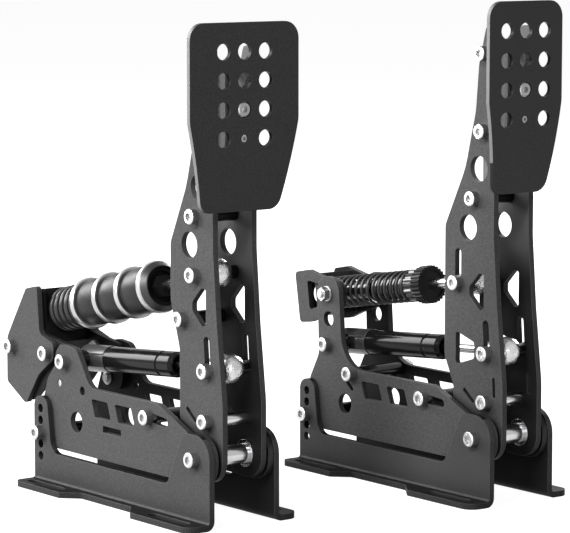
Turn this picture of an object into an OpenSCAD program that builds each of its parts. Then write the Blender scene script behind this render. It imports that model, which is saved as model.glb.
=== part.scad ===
// Two floor-standing pedal modules, a brake and a throttle, for a driving simulator.
// Frame of the whole set: +Z up, -Y towards the driver, the brake on the -X side.
// Each module is drawn about its own pivot line: X = 0 at its middle, Y = 0 at the pivot, Z = 0 at the floor.
// Points in a side view are written as [y, z], and corner lists as [y, z, corner radius].

/* [Placement] */
// Distance between the middles of the two modules
pedal_spacing = 193; // [150:1:260]
// How far the throttle module stands ahead of the brake module, towards the driver
throttle_advance = 51; // [0:1:90]

/* [Plates] */
// Thickness of the laser-cut steel plates
plate_t = 4; // [3:0.5:5]
// Clear width between the two arm plates
arm_space = 27; // [26:0.5:32]
// Gap between an arm plate and the frame plate beside it
side_gap = 2.5; // [2:0.1:4]
// Height of the arm pivot above the floor
pivot_z = 44.5; // [42:0.5:48]

/* [Foot brackets] */
// Reach of the foot flange beyond the upright plate
foot_reach = 17; // [16:0.5:24]
// Length of the foot bracket from front to rear
foot_len = 207; // [204:1:215]
// Inside radius of the bend between plate and flange
bend_r = 2; // [1:0.5:3]
// Radius of the front ear about the pivot
ear_r = 16; // [14:0.5:17]
// Height of the low strip between ear and column
strip_h = 24; // [18:0.5:25]
// Height of the rear column with its row of holes
column_h = 62; // [60:1:70]
// Width of the rear column
column_w = 16; // [14:0.5:20]
// Distance between the holes of the rear column
column_pitch = 8.3; // [8:0.1:8.6]
// Width of the foot slots
foot_slot_w = 6.6; // [6:0.1:8]
// Length of the foot slots, end to end
foot_slot_len = 42; // [30:1:46]
// Distance between the middles of the two foot slots
foot_slot_spacing = 146; // [140:1:148]
// Depth of the recess between the two foot tabs
tab_recess = 11; // [6:0.5:12]

/* [Frame plates] */
// Height of the long top edge of the frame plates
frame_top_z = 74; // [72:0.5:78]
// Gap between the foot strip and the frame plate above it
frame_lift = 3; // [2:0.5:6]
// Width of a slanted window in the frame plate
window_w = 19.5; // [16:0.5:21]
// Height of a slanted window in the frame plate
window_h = 12; // [9:0.5:14]
// Diameter of the round hole in the frame plate
frame_hole_d = 14.5; // [10:0.5:18]
// Distance of the stop bolt behind the pivot
stop_y = 57; // [55:0.5:62]
// Height of the stop bolt
stop_z = 64; // [62:0.5:66]

/* [Fasteners] */
// Diameter of the bolts
bolt_d = 6; // [5:0.5:6.5]
// Diameter of the bolt heads
bolt_head_d = 10; // [9:0.5:11]
// Height of the bolt heads
bolt_head_h = 6; // [4:0.5:7]
// Radial clearance of a bolt in its hole
bolt_fit = 0.1; // [0.05:0.05:0.3]
// Outer diameter of the spacer tubes
spacer_d = 9; // [8.5:0.5:11]

/* [Pivot] */
// Diameter of the pivot shaft
shaft_d = 13; // [10:0.5:13.5]
// Radial running clearance of the pivots
run_fit = 0.05; // [0.02:0.01:0.1]
// Outer diameter of the flanged bush in the arm plate
bush_d = 15; // [14.5:0.5:18]
// Diameter of the bush flanges
bush_flange_d = 18; // [17:0.5:24]

/* [Arms] */
// Height of the top of the arm plates
arm_top_z = 309; // [303:1:314]
// Distance of the front edge of the upper arm ahead of the pivot
arm_front = 6; // [5:0.5:9]
// Distance of the widest part of the brake arm behind the pivot
brake_arm_rear = 41; // [38:0.5:46]
// Distance of the widest part of the throttle arm behind the pivot
throttle_arm_rear = 43.5; // [41:0.5:47]
// Diameter of the round lightening holes in the arms
arm_hole_d = 17.5; // [14:0.5:20]

/* [Pedal faces] */
// Thickness of the pedal faces
face_t = 3; // [2:0.5:4]
// Distance of the face front ahead of the pivot
face_front = 17; // [16:0.5:20]
// Height of the top edge of the faces
face_top_z = 325; // [320:1:330]
// Height of a face from top to bottom
face_h = 121; // [112:1:126]
// Width of the brake face
brake_face_w = 86; // [80:1:100]
// Width of the throttle face
throttle_face_w = 64; // [60:1:75]
// Share of its width that each side of a face draws in towards its foot
face_taper = 0.145; // [0.08:0.005:0.16]
// Height of the curved lower part of a face
face_curve_h = 58; // [40:1:62]
// Radius of that curve
face_curve_r = 295; // [270:5:500]
// How much taller the throttle face stands than the brake face
throttle_rise = 11; // [0:0.5:14]
// Diameter of the grip holes
grip_hole_d = 10.5; // [8:0.5:12]
// Distance between the columns of grip holes
grip_pitch_x = 16.5; // [15:0.5:20]
// Distance between the rows of grip holes
grip_pitch_z = 18.5; // [17:0.5:19]

/* [Push rods] */
// Diameter of the push rods
push_rod_d = 7; // [6.5:0.5:8]
// Diameter of the rod end heads
rod_end_d = 19.5; // [18:0.5:21]
// Width of the rod end heads
rod_end_w = 15; // [13:0.5:16]
// Height of the brake push rod pin
brake_pin_z = 162; // [160:0.5:165]
// Height of the throttle push rod pin
throttle_pin_z = 146; // [144:0.5:148]

/* [Dampers] */
// Height of the damper pin in the arms
damper_pin_z = 101; // [100:0.5:104]
// Outer diameter of the damper cylinders
damper_d = 17.5; // [16:0.5:20]
// Length of the damper cylinders
damper_len = 92; // [86:1:96]
// Diameter of the damper rods
damper_rod_d = 6; // [5:0.5:7]
// Radial room round the damper rod, for the swing that the cylinder doesn't follow
damper_room = 1; // [0.8:0.1:1.6]

/* [Brake stack] */
// Diameter of the polished washers
washer_d = 35.5; // [32:0.5:37]
// Thickness of the polished washers
washer_t = 4; // [3:0.5:5]
// Diameter of the elastomers
elastomer_d = 31.5; // [26:0.5:33]
// Length of an elastomer
elastomer_len = 23.4; // [22:0.2:24]
// Length of the coil spring between the last washer and its seat
coil_len = 33.5; // [30:0.5:35]
// Outside diameter of the coil spring
coil_d = 31; // [27:0.5:32]
// Wire thickness of the coil spring
coil_wire = 3.8; // [3:0.1:4]
// Turns of the coil spring
coil_turns = 5; // [4:0.5:5.5]
// Length of the cup at the front of the stack
cup_len = 8.5; // [8:0.5:12]

/* [Brake housing] */
// Height of the frame tip that carries the brake housing
tip_z = 89; // [87:0.5:91]
// Distance of the frame tip behind the pivot
tip_y = 157; // [154:0.5:160]
// Rear end of the housing side plates
housing_rear = 232; // [230:1:240]
// Thickness of the spring seat
seat_t = 4; // [3:0.5:5]
// Length of the load cell
cell_len = 12; // [11:0.5:14]
// Diameter of the load cell
cell_d = 28; // [24:0.5:31]

/* [Throttle spring] */
// Distance of the throttle posts' top pin behind the pivot
post_y = 164; // [162:0.5:166]
// Height of the pin at the top of the throttle posts
post_z = 125; // [122:0.5:128]
// Height of the damper pin in the throttle posts
post_damper_z = 89; // [88:0.5:91]
// Outside diameter of the throttle spring
fine_spring_d = 23; // [21:0.5:24]
// Wire thickness of the throttle spring
fine_wire = 2.2; // [1.8:0.1:2.4]
// Turns of the throttle spring
fine_turns = 14; // [10:0.5:15]
// Diameter of the knurled preload knob
knob_d = 26.5; // [22:0.5:28]
// Length of the preload knob
knob_len = 9; // [8:0.5:14]

/* [Hidden] */

// Layers across a module, measured from its middle plane
arm_in = arm_space / 2;
arm_out = arm_in + plate_t;
frame_in = arm_out + side_gap;
frame_out = frame_in + plate_t;
foot_in = frame_out;
foot_out = foot_in + plate_t;
flange_out = foot_out + foot_reach;

// Levels and stations of the foot bracket
foot_front = -ear_r;
foot_rear = foot_front + foot_len;
column_y = foot_rear - column_w / 2;
column_top_hole = column_h - column_w / 2 - 0.5;
clamp_z = column_top_hole - 2 * column_pitch;
frame_bottom = strip_h + frame_lift;
slot_mid_y = (foot_front + foot_rear) / 2 + 2;
slot_front_y = slot_mid_y - foot_slot_spacing / 2;
slot_rear_y = slot_mid_y + foot_slot_spacing / 2;
slot_x = flange_out - 8;

// Named points in the side view
pivot = [0, pivot_z];
column_bolt = [column_y, clamp_z];
stop_bolt = [stop_y, stop_z];
tip = [tip_y, tip_z];
post_pin = [post_y, post_z];
post_damper = [post_y, post_damper_z];
inner_screw = [tip_y + 8, tip_z - 16];
cross_bolt = [136.5, frame_top_z - 3];
damper_pin = [0, damper_pin_z];
low_spacer = [0, 68];
brake_pin = [13, brake_pin_z];
throttle_pin = [30, throttle_pin_z];
top_spacer = [13, 200];
arm_holes = [[9.5, 219], [20, 181]];
rise_from = 125;

// Height z of the brake arm as it lies in the taller throttle arm
function lift(z, rise) = z + rise * max(0, z - rise_from) / (face_top_z - rise_from);
function lift_all(points, rise) = [for (p = points) [p[0], lift(p[1], rise)]];
mid_spacer = [27, 132];
face_bolts = [[4, 292], [4, 243]];

// Where the modules stand, so that the origin is the middle of the whole footprint
reach_rear = housing_rear;
reach_front = throttle_advance + max(face_front, -foot_front);
brake_place = [-pedal_spacing / 2, (reach_front - reach_rear) / 2, 0];
throttle_place = [pedal_spacing / 2, brake_place[1] - throttle_advance, 0];

// Small fits and thicknesses
bolt_r = bolt_d / 2;
hole_r = bolt_r + bolt_fit;
face_gap = 0.3;
nut_h = 5;
eye_w = 16;
eye_bore_r = 4;
nut_af = 10;
swing_gap = 0.3;

// Stations along the brake push rod, counted from its pin
spring_seat_point = [193.9, 118.6];
seat_s = norm(spring_seat_point - brake_pin);
rear_washer_s = seat_s - coil_len - washer_t;
middle_washer_s = rear_washer_s - elastomer_len - washer_t;
front_washer_s = middle_washer_s - elastomer_len - washer_t;
cup_s = front_washer_s - elastomer_len - cup_len;
cell_s = seat_s + seat_t;
web_s = cell_s + cell_len;
brake_rod_end_s = seat_s + seat_t + 6;
rod_room = 0.8;

// Stations along the throttle push rod, counted from its pin
throttle_span = norm(post_pin - throttle_pin);
bracket_web_s = throttle_span + 19;
collar_s = 48 + knob_len;
collar_len = 10;
fine_spring_s = collar_s + collar_len;
fine_spring_len = bracket_web_s - fine_spring_s;
throttle_rod_end_s = bracket_web_s + 14;
throttle_rod_room = 1.3;
tube_len = 38;
guide_len = 42;

$fn = 48;

// Geometry helpers

function unit(v) = v / norm(v);

// Points of one rounded corner between the corners before and after it
function corner(a, b, c) =
    let (
        p = [b[0], b[1]],
        u = unit([a[0], a[1]] - p),
        v = unit([c[0], c[1]] - p),
        half = acos(max(-1, min(1, u * v))) / 2,
        r = b[2],
        o = p + unit(u + v) * (r / sin(half)),
        s = p + u * (r / tan(half)) - o,
        e = p + v * (r / tan(half)) - o,
        a0 = atan2(s[1], s[0]),
        raw = atan2(e[1], e[0]) - a0,
        turn = raw > 180 ? raw - 360 : (raw < -180 ? raw + 360 : raw),
        n = max(2, ceil(abs(turn) / 11))
    )
    r == 0 ? [p] : [for (i = [0:n]) o + r * [cos(a0 + turn * i / n), sin(a0 + turn * i / n)]];

// A closed outline whose corners are given as [x, y, radius]
module rounded(corners) {
    n = len(corners);
    polygon([
        for (i = [0:n - 1])
            each corner(corners[(i + n - 1) % n], corners[i], corners[(i + 1) % n])
    ]);
}

// A slot from point a to point b, of width w
module slot_2d(a, b, w) {
    run = norm(b - a);
    translate(a) rotate(atan2(b[1] - a[1], b[0] - a[0])) {
        translate([0, -w / 2]) square([run, w]);
        circle(d = w);
        translate([run, 0]) circle(d = w);
    }
}

// A side-view outline turned into a plate between x0 and x0 + t
module plate(x0, t = plate_t) {
    translate([x0, 0, 0]) rotate([90, 0, 90]) linear_extrude(t) children();
}

// A round bar across the module at side-view point p, from x0 to x1
module bar(p, r, x0, x1) {
    translate([x0, p[0], p[1]]) rotate([0, 90, 0]) cylinder(r = r, h = x1 - x0);
}

// A tube across the module
module tube(p, ro, ri, x0, x1) {
    difference() {
        bar(p, ro, x0, x1);
        bar(p, ri, x0 - 1, x1 + 1);
    }
}

// Right side as drawn, left side mirrored
module on_side(side) {
    if (side < 0) mirror([1, 0, 0]) children();
    else children();
}

// Local +Z runs from side-view point a towards point b
module aim(a, b) {
    translate([0, a[0], a[1]]) rotate([atan2(a[0] - b[0], b[1] - a[1]), 0, 0]) children();
}

module at_brake() {
    translate(brake_place) children();
}

module at_throttle() {
    translate(throttle_place) children();
}

// Fasteners

// Socket head at x = 0 whose shank runs to x = grip, all along +X
module socket_bolt(grip) {
    rotate([0, 90, 0]) {
        difference() {
            rotate_extrude() polygon([
                [0, -bolt_head_h], [bolt_head_d / 2 - 0.6, -bolt_head_h],
                [bolt_head_d / 2, 0.6 - bolt_head_h], [bolt_head_d / 2, 0],
                [bolt_r, 0], [bolt_r, grip - 0.5], [bolt_r - 0.5, grip], [0, grip]
            ]);
            translate([0, 0, -bolt_head_h - 1])
                cylinder(r = bolt_head_d * 0.27, h = bolt_head_h * 0.36 + 1, $fn = 6);
        }
    }
}

// Hexagon nut with a smooth collar, seated at x = 0 and reaching to x = nut_h
module lock_nut() {
    rotate([0, 90, 0]) difference() {
        union() {
            cylinder(d = nut_af / cos(30), h = nut_h * 0.7, $fn = 6);
            cylinder(d = nut_af - 1, h = nut_h);
        }
        translate([0, 0, -1]) cylinder(r = bolt_r + run_fit, h = nut_h + 2);
    }
}

// Bolt through the whole module at point p, with its head on the left, from -x to +x
module through_bolt(p, x) {
    translate([-x, p[0], p[1]]) socket_bolt(2 * x + nut_h + 1);
    translate([x, p[0], p[1]]) lock_nut();
}

// Foot brackets

// Section of the folded bracket: upright plate, bend and outward flange
module bracket_section() {
    outer_r = bend_r + plate_t;
    difference() {
        union() {
            translate([foot_in, outer_r]) square([plate_t, column_h]);
            translate([foot_in + outer_r, 0]) square([flange_out - foot_in - outer_r, plate_t]);
            translate([foot_in, 0]) square([outer_r, outer_r]);
        }
        translate([foot_in, 0]) difference() {
            translate([-1, -1]) square([outer_r + 1, outer_r + 1]);
            translate([outer_r, outer_r]) circle(r = outer_r);
        }
        translate([foot_in + outer_r, outer_r]) circle(r = bend_r);
    }
}

module bracket_side_outline() {
    rounded([
        [foot_front, -1, 0],
        [foot_rear, -1, 0],
        [foot_rear, column_h, column_w / 2 - 0.1],
        [foot_rear - column_w, column_h, column_w / 2 - 0.1],
        [foot_rear - column_w - 5, strip_h, 10],
        [ear_r + 15, strip_h, 6],
        [ear_r - 3, pivot_z + ear_r, 6],
        [foot_front, pivot_z + ear_r, ear_r - 0.1]
    ]);
}

module bracket_plan_outline() {
    waist = flange_out - tab_recess;
    front_tab = slot_front_y + foot_slot_len / 2 + 12;
    rear_tab = slot_rear_y - foot_slot_len / 2 - 7;
    rounded([
        [foot_in - 1, foot_front, 0],
        [flange_out, foot_front, 9],
        [flange_out, front_tab, 2],
        [waist, front_tab + tab_recess + 4, 4],
        [waist, rear_tab - tab_recess, 4],
        [flange_out, rear_tab, 2],
        [flange_out, foot_rear, 6],
        [foot_in - 1, foot_rear, 0]
    ]);
}

module foot_bracket() {
    difference() {
        intersection() {
            translate([0, foot_rear, 0]) rotate([90, 0, 0]) linear_extrude(foot_len) bracket_section();
            plate(foot_in - 1, foot_reach + plate_t + 2) bracket_side_outline();
            translate([0, 0, -1]) linear_extrude(column_h + 2) bracket_plan_outline();
        }
        for (i = [0:4])
            bar([column_y, column_top_hole - i * column_pitch], hole_r, foot_in - 1, foot_out + 1);
        bar(pivot, hole_r, foot_in - 1, foot_out + 1);
        for (y = [slot_front_y, slot_rear_y]) foot_slot(y);
    }
}

module foot_slot(y) {
    run = (foot_slot_len - foot_slot_w) / 2;
    translate([0, 0, -1]) linear_extrude(plate_t + 2)
        slot_2d([slot_x, y - run], [slot_x, y + run], foot_slot_w);
}

// Frame plates

// A slanted window whose lower front corner is at [y, z]
module slanted_window(y, z) {
    slant = window_h * 0.37;
    rounded([
        [y, z, 1.5],
        [y + window_w, z, 1.5],
        [y + window_w + slant, z + window_h, 1.5],
        [y + slant, z + window_h, 1.5]
    ]);
}

// Holes that both frame plates share
module frame_cutouts() {
    for (p = [pivot, column_bolt]) translate(p) circle(r = hole_r);
    translate([144, frame_bottom + 21.5]) circle(d = frame_hole_d);
    for (y = [74, 102]) slanted_window(y, frame_top_z - 7 - window_h);
    slot_2d(stop_bolt, [stop_y - 18, stop_z - 1.5], 2 * hole_r);
}

// Corners of the long low part, from the rear bottom corner forwards round the pivot to the top edge
front_r = ear_r - 1;
frame_low_corners = [
    [foot_rear - 2, clamp_z + 13, 6],
    [foot_rear - 2, frame_bottom, 4],
    [-front_r, frame_bottom, min(front_r, pivot_z - frame_bottom) - 0.2],
    [-front_r, pivot_z + front_r, front_r - 0.2],
    [ear_r - 3, pivot_z + front_r, 5],
    [stop_y - 10, frame_top_z, 10]
];

module brake_frame_outline() {
    r = 12;
    rounded(concat(frame_low_corners, [
        [tip_y - 30, frame_top_z, 12],
        [tip_y - 13, tip_z + r - 2, 8],
        [tip_y + r, tip_z + r, r - 1],
        [tip_y + r + 1, tip_z - 4, 8],
        [foot_rear - 12, frame_top_z + 1, 5]
    ]));
}

module throttle_frame_outline() {
    r = 12;
    rounded(concat(frame_low_corners, [
        [post_y - 17, frame_top_z, 24],
        [post_y - r, post_z + r, r - 1],
        [post_y + r, post_z + r, r - 1],
        [post_y + 10, frame_top_z + 7, 10],
        [foot_rear - 8, clamp_z + 28, 6]
    ]));
}

module brake_frame_shape() {
    plate(frame_in) difference() {
        brake_frame_outline();
        frame_cutouts();
        translate(tip) circle(r = hole_r);
        translate(cross_bolt) circle(r = hole_r);
        translate(inner_screw) circle(r = bolt_r * 0.8);
        translate([90, frame_bottom + 19]) square([22, 4.5]);
    }
}

module throttle_frame_shape() {
    plate(frame_in) difference() {
        throttle_frame_outline();
        frame_cutouts();
        for (p = [post_damper, cross_bolt]) translate(p) circle(r = hole_r);
        translate(post_pin) circle(r = hole_r);
        translate([post_y - 1, (post_z + post_damper_z) / 2]) circle(d = 11);
        slot_2d(cross_bolt + [5.5, -6], cross_bolt + [-0.5, -11], 3);
    }
}

// Sleeve that carries the damper eye, with a ring on each side, between walls at -x and +x
module damper_pin_sleeve(p, x) {
    tube(p, eye_bore_r, hole_r, -x, x);
    for (side = [-1, 1])
        on_side(side) tube(p, eye_bore_r + 2.5, eye_bore_r + run_fit, eye_w / 2 + swing_gap, x);
}

// Spacer tubes between the frame plates
module frame_spacers(points) {
    for (p = points) tube(p, spacer_d / 2, hole_r, -frame_in, frame_in);
}

module brake_frame_spacer_shapes() {
    frame_spacers([stop_bolt, column_bolt]);
    damper_pin_sleeve(tip, frame_in - plate_t);
}

module throttle_frame_spacer_shapes() {
    frame_spacers([stop_bolt, column_bolt, cross_bolt]);
    damper_pin_sleeve(post_damper, frame_in);
}

module brake_frame_bolt_shapes() {
    for (p = [pivot, column_bolt]) through_bolt(p, foot_out);
    for (p = [stop_bolt, tip]) through_bolt(p, frame_out);
}

// The two studs at the post tops leave the middle free for the push rod
module throttle_frame_bolt_shapes() {
    for (p = [pivot, column_bolt]) through_bolt(p, foot_out);
    for (p = [stop_bolt, cross_bolt, post_damper]) through_bolt(p, frame_out);
    post_stud(post_pin, frame_out, 2 * plate_t + 2 * swing_gap);
    mirror([1, 0, 0]) post_stud(post_pin, frame_out, 2 * plate_t + 2 * swing_gap);
}

// Pivot

module pivot_shaft() {
    tube(pivot, shaft_d / 2, hole_r, -frame_in, frame_in);
}

// Flanged bush pressed in an arm plate
module pivot_bush() {
    gap = side_gap - swing_gap;
    translate([0, 0, pivot_z]) rotate([0, 90, 0]) rotate_extrude() polygon([
        [shaft_d / 2 + run_fit, arm_in - 2],
        [bush_flange_d / 2, arm_in - 2],
        [bush_flange_d / 2, arm_in],
        [bush_d / 2, arm_in],
        [bush_d / 2, arm_out],
        [bush_flange_d / 2, arm_out],
        [bush_flange_d / 2, arm_out + gap],
        [shaft_d / 2 + run_fit, arm_out + gap]
    ]);
}

// Arms

// Corners that both arms share: round the pivot, up the front edge and over the top
arm_r = ear_r;
function arm_front_corners(rise) = [
    [arm_r, pivot_z - arm_r, arm_r - 0.2],
    [-arm_r, pivot_z - arm_r, arm_r - 0.2],
    [-arm_r, pivot_z + 36, 60],
    [-arm_front - 4, pivot_z + 86, 80],
    [-arm_front, arm_top_z - 130, 60],
    [-arm_front, lift(arm_top_z, rise), 3],
    [3, lift(arm_top_z, rise), 3],
    [10, lift(arm_top_z - 24, rise), 20],
    [13, lift(arm_top_z - 54, rise), 40],
    [23, lift(arm_top_z - 90, rise), 60]
];

module brake_arm_outline() {
    rounded(concat(arm_front_corners(0), [
        [brake_arm_rear, 181, 10],
        [brake_arm_rear, 143, 20],
        [brake_arm_rear - 10, 112, 20],
        [brake_arm_rear - 10, low_spacer[1] - 2, 12]
    ]));
}

module throttle_arm_outline() {
    rounded(concat(arm_front_corners(throttle_rise), [
        [throttle_arm_rear, lift(181, throttle_rise), 8],
        [throttle_arm_rear, damper_pin_z - 6, 12],
        [throttle_arm_rear - 9.5, damper_pin_z - 25, 8],
        [throttle_arm_rear - 9.5, low_spacer[1] - 2, 12]
    ]));
}

// Half-moon window with its straight side towards the driver
module moon_window(y) {
    rounded([
        [y, 130, 2], [y, 154, 2], [y + 5, 154, 3],
        [y + 15, 144, 3.5], [y + 15, 138.5, 3.5], [y + 4, 129, 2.5]
    ]);
}

module arm_cutouts(rise) {
    translate(pivot) circle(r = bush_d / 2 + run_fit);
    for (p = lift_all(concat([low_spacer, top_spacer], face_bolts), rise)) translate(p) circle(r = hole_r);
    for (p = lift_all(arm_holes, rise)) translate(p) circle(d = arm_hole_d);
    slot_2d(damper_pin, damper_pin + [1.5, 19], 2 * hole_r);
    slot_2d([14, low_spacer[1] - 1], [22.5, low_spacer[1] + 5.5], 3);
}

module brake_arm_shape() {
    plate(arm_in) difference() {
        brake_arm_outline();
        arm_cutouts(0);
        for (p = [brake_pin, mid_spacer]) translate(p) circle(r = hole_r);
        moon_window(2);
    }
}

module throttle_arm_shape() {
    plate(arm_in) difference() {
        throttle_arm_outline();
        arm_cutouts(throttle_rise);
        slot_2d(throttle_pin, throttle_pin + [0, 20], 2 * hole_r);
        moon_window(3.5);
        rounded([[32, 113, 2], [13, 107, 2], [13, 96, 2], [32, 90, 2]]);
        slot_2d([-7.5, 73], [-7, 84], 3);
    }
}

// Collars that hold a rod end in the middle between the arm plates
module pin_collars(p) {
    for (side = [-1, 1]) on_side(side) tube(p, spacer_d / 2, hole_r, rod_end_w / 2 + face_gap, arm_in);
}

module arm_spacers(tubes, pins) {
    for (p = tubes) tube(p, spacer_d / 2, hole_r, -arm_in, arm_in);
    for (p = pins) pin_collars(p);
}

module arm_bolts(points) {
    for (p = points) through_bolt(p, arm_out);
}

// Pedal faces

// Heights of the rows of grip holes, from the top
grip_rows = [for (i = [0:3]) face_top_z - grip_pitch_z * (i + 1)];
mount_top = grip_rows[0] - 8;
mount_bottom = grip_rows[3] - 44;
flat_bottom = face_top_z - face_h + face_curve_h;
face_back = -face_front + face_t;

// Side profile of a face: straight above, curving away from the driver below
module face_profile(rise) {
    flat = lift(flat_bottom, rise);
    translate([-face_front, flat]) square([face_t, lift(face_top_z, rise) - flat]);
    intersection() {
        translate([face_curve_r - face_front, flat]) difference() {
            circle(r = face_curve_r, $fn = 360);
            circle(r = face_curve_r - face_t, $fn = 360);
        }
        translate([-face_front - 1, flat - face_h]) square([face_front + 12, face_h]);
    }
}

module face_outline(w, rise) {
    half = w / 2;
    top = lift(face_top_z, rise);
    side = lift(flat_bottom, rise);
    bottom = lift(face_top_z - face_h, rise);
    foot = half - w * face_taper;
    rounded([
        [-half, top, 11], [half, top, 11], [half, side, 20],
        [foot, bottom, 9], [-foot, bottom, 9], [-half, side, 20]
    ]);
}

module face_plate(w, rise) {
    difference() {
        intersection() {
            translate([0, 30 - face_front, 0]) rotate([90, 0, 0]) linear_extrude(40) face_outline(w, rise);
            plate(-w / 2 - 1, w + 2) face_profile(rise);
        }
        for (col = [-1:1], row = [0:3])
            if (col != 0 || row < 3) face_hole(col * grip_pitch_x, lift(grip_rows[row], rise), grip_hole_d);
        face_hole(0, lift(grip_rows[3], rise), bolt_d * 0.8 + 0.4);
    }
}

module face_hole(x, z, d) {
    translate([x, 15 - face_front, z]) rotate([90, 0, 0]) cylinder(d = d, h = 30);
}

// Side-view region that lies behind the back of a face by a distance
module behind_face(gap, rise) {
    flat = lift(flat_bottom, rise);
    translate([face_back + gap, flat]) square([40, face_h]);
    intersection() {
        translate([face_curve_r - face_front, flat]) circle(r = face_curve_r - face_t - gap);
        translate([face_back, flat - face_h]) square([50, face_h]);
    }
}

// Folded channel between the arm plates that carries the face
module face_mount(rise) {
    half = arm_in - 0.2;
    wall = plate_t - 0.5;
    rear = face_bolts[0][0] + 6;
    top = lift(mount_top, rise);
    bottom = lift(mount_bottom, rise);
    difference() {
        plate(-half, 2 * half) intersection() {
            behind_face(0.1, rise);
            rounded([
                [face_back - 1, bottom, 0], [rear, bottom, 4],
                [rear, top - 8, 8], [3, top, 5], [face_back - 1, top, 0]
            ]);
        }
        plate(wall - half, 2 * (half - wall)) behind_face(wall, rise);
        for (p = lift_all(face_bolts, rise)) bar(p, hole_r, -arm_in, arm_in);
        face_hole(0, lift(grip_rows[2], rise), bolt_d + 0.2);
        face_hole(0, lift(grip_rows[3], rise), bolt_d * 0.8 + 0.4);
        face_hole(0, lift(grip_rows[1], rise), grip_hole_d);
    }
}

// Button head screw in the third row and a small locating screw in the fourth
module face_screws(rise) {
    translate([0, face_back, lift(grip_rows[2], rise)]) rotate([90, 0, 0]) difference() {
        rotate_extrude() polygon([
            [0, -plate_t - 3], [bolt_r, -plate_t - 3], [bolt_r, 0], [grip_hole_d / 2 - 0.15, 0],
            [grip_hole_d / 2 - 0.15, face_t - 1], [grip_hole_d / 2 - 1.2, face_t - 0.2], [0, face_t]
        ]);
        translate([0, 0, face_t - 2]) cylinder(r = bolt_d * 0.36, h = 3, $fn = 6);
    }
    translate([0, face_back, lift(grip_rows[3], rise)]) rotate([90, 0, 0]) difference() {
        translate([0, 0, -plate_t - 3]) cylinder(d = bolt_d * 0.8, h = plate_t + 3 + face_t * 0.7);
        translate([0, 0, face_t * 0.7 - 1.5]) cylinder(r = bolt_d * 0.2, h = 3, $fn = 6);
    }
}

// Rod ends

// Points of a ball's outline between x = -w and x = w
function ball_arc(r, w) = [for (i = [-5:5]) let (x = w * i / 5) [sqrt(r * r - x * x), x]];

// Round head at the origin, bored for its bolt, with its neck along +Z
module rod_end(neck_len, neck_bore) {
    r = rod_end_d / 2;
    w = rod_end_w / 2;
    difference() {
        union() {
            rotate([0, 90, 0]) rotate_extrude() polygon(concat([[0, -w]], ball_arc(r, w), [[0, w]]));
            translate([0, 0, r - 3]) cylinder(r = 5.5, h = neck_len - r + 3);
            translate([0, 0, neck_len - 5]) cylinder(r = 6.4, h = 5, $fn = 6);
        }
        rotate([0, 90, 0]) translate([0, 0, -w - 1]) cylinder(r = bolt_r + run_fit, h = 2 * w + 2);
        translate([0, 0, r]) cylinder(r = neck_bore, h = neck_len);
    }
}

neck_len = 26;

// Dampers

// Cylinder along the line from the rear pin to the arm pin, with its eye on the rear pin
module damper_cylinder(rear_pin) {
    r = damper_d / 2;
    gland_r = damper_rod_d / 2 + damper_room;
    bore_r = r - 1.5;
    front = damper_len + 10;
    aim(rear_pin, damper_pin) difference() {
        union() {
            intersection() {
                translate([0, 0, -10]) rotate_extrude() polygon([
                    [0, 0], [r - 2.5, 0], [r + 0.5, 3], [r + 0.5, 32], [r - 0.6, 33], [0, 33]
                ]);
                translate([-eye_w / 2, -r - 1, -11]) cube([eye_w, 2 * r + 2, 60]);
            }
            translate([0, 0, 10]) rotate_extrude() polygon([
                [0, 0], [r - 1.2, 0], [r, 1.2], [r, damper_len - 18], [r - 0.8, damper_len - 17.2],
                [r - 0.8, damper_len - 15.8], [r, damper_len - 15],
                [r, damper_len - 3], [r - 1.6, damper_len], [0, damper_len]
            ]);
        }
        rotate([0, 90, 0]) translate([0, 0, -eye_w]) cylinder(r = eye_bore_r + run_fit, h = 2 * eye_w);
        translate([0, 0, 16]) cylinder(r = bore_r, h = front - 26);
        translate([0, 0, front - 12]) cylinder(r = gland_r, h = 13);
        translate([0, 0, front - 4]) cylinder(r1 = gland_r, r2 = r - 2.6, h = 4.01);
    }
}

// Rod with its piston inside the cylinder
module damper_rod(rear_pin) {
    span = norm(rear_pin - damper_pin);
    piston_s = span - 10 - damper_len + 24;
    aim(damper_pin, rear_pin) {
        translate([0, 0, 12]) cylinder(d = damper_rod_d, h = piston_s - 11);
        translate([0, 0, piston_s]) cylinder(r = damper_d / 2 - 1.5 - damper_room, h = 7);
    }
}

module damper_rod_end(rear_pin) {
    aim(damper_pin, rear_pin) rod_end(neck_len, damper_rod_d / 2 + run_fit);
}

// Coil springs, each one unbroken tube of six sides

closed_turn = 0.75;

// Height of the tube's middle at turn t, with close end turns and an even pitch between them
function coil_rise(t, turns, h, wire) =
    let (
        near = (wire + 0.7) * closed_turn,
        pitch = (h - wire - 2 * near) / (turns - 2 * closed_turn)
    )
    t < closed_turn ? t * near / closed_turn
    : t > turns - closed_turn ? h - wire - (turns - t) * near / closed_turn
    : near + (t - closed_turn) * pitch;

// Middle line of the tube at turn t of a spring of radius r and height h
function coil_point(t, turns, r, h, wire) =
    [r * cos(360 * t), r * sin(360 * t), wire / 2 + coil_rise(t, turns, h, wire)];

function coil_rings(turns, d, h, wire) =
    let (n = round(turns * 8), r = (d - wire) / 2)
    let (rise = (h - wire) / turns, slope = atan2(rise, 360 * r * PI / 180))
    [for (i = [0:n])
        let (t = i * turns / n, c = coil_point(t, turns, r, h, wire), a = 360 * t)
        [for (k = [0:5])
            let (q = 60 * k, out = wire / 2 * cos(q), up = wire / 2 * sin(q))
            c + [
                out * cos(a) + up * sin(slope) * sin(a),
                out * sin(a) - up * sin(slope) * cos(a),
                up * cos(slope)
            ]
        ]
    ];

// Least gap between the points of rings that lie about one turn apart
function coil_gap(rings) =
    min([
        for (i = [0:len(rings) - 8], j = [i + 6:min(i + 9, len(rings) - 1)], a = rings[i], b = rings[j])
            norm(a - b)
    ]);

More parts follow.
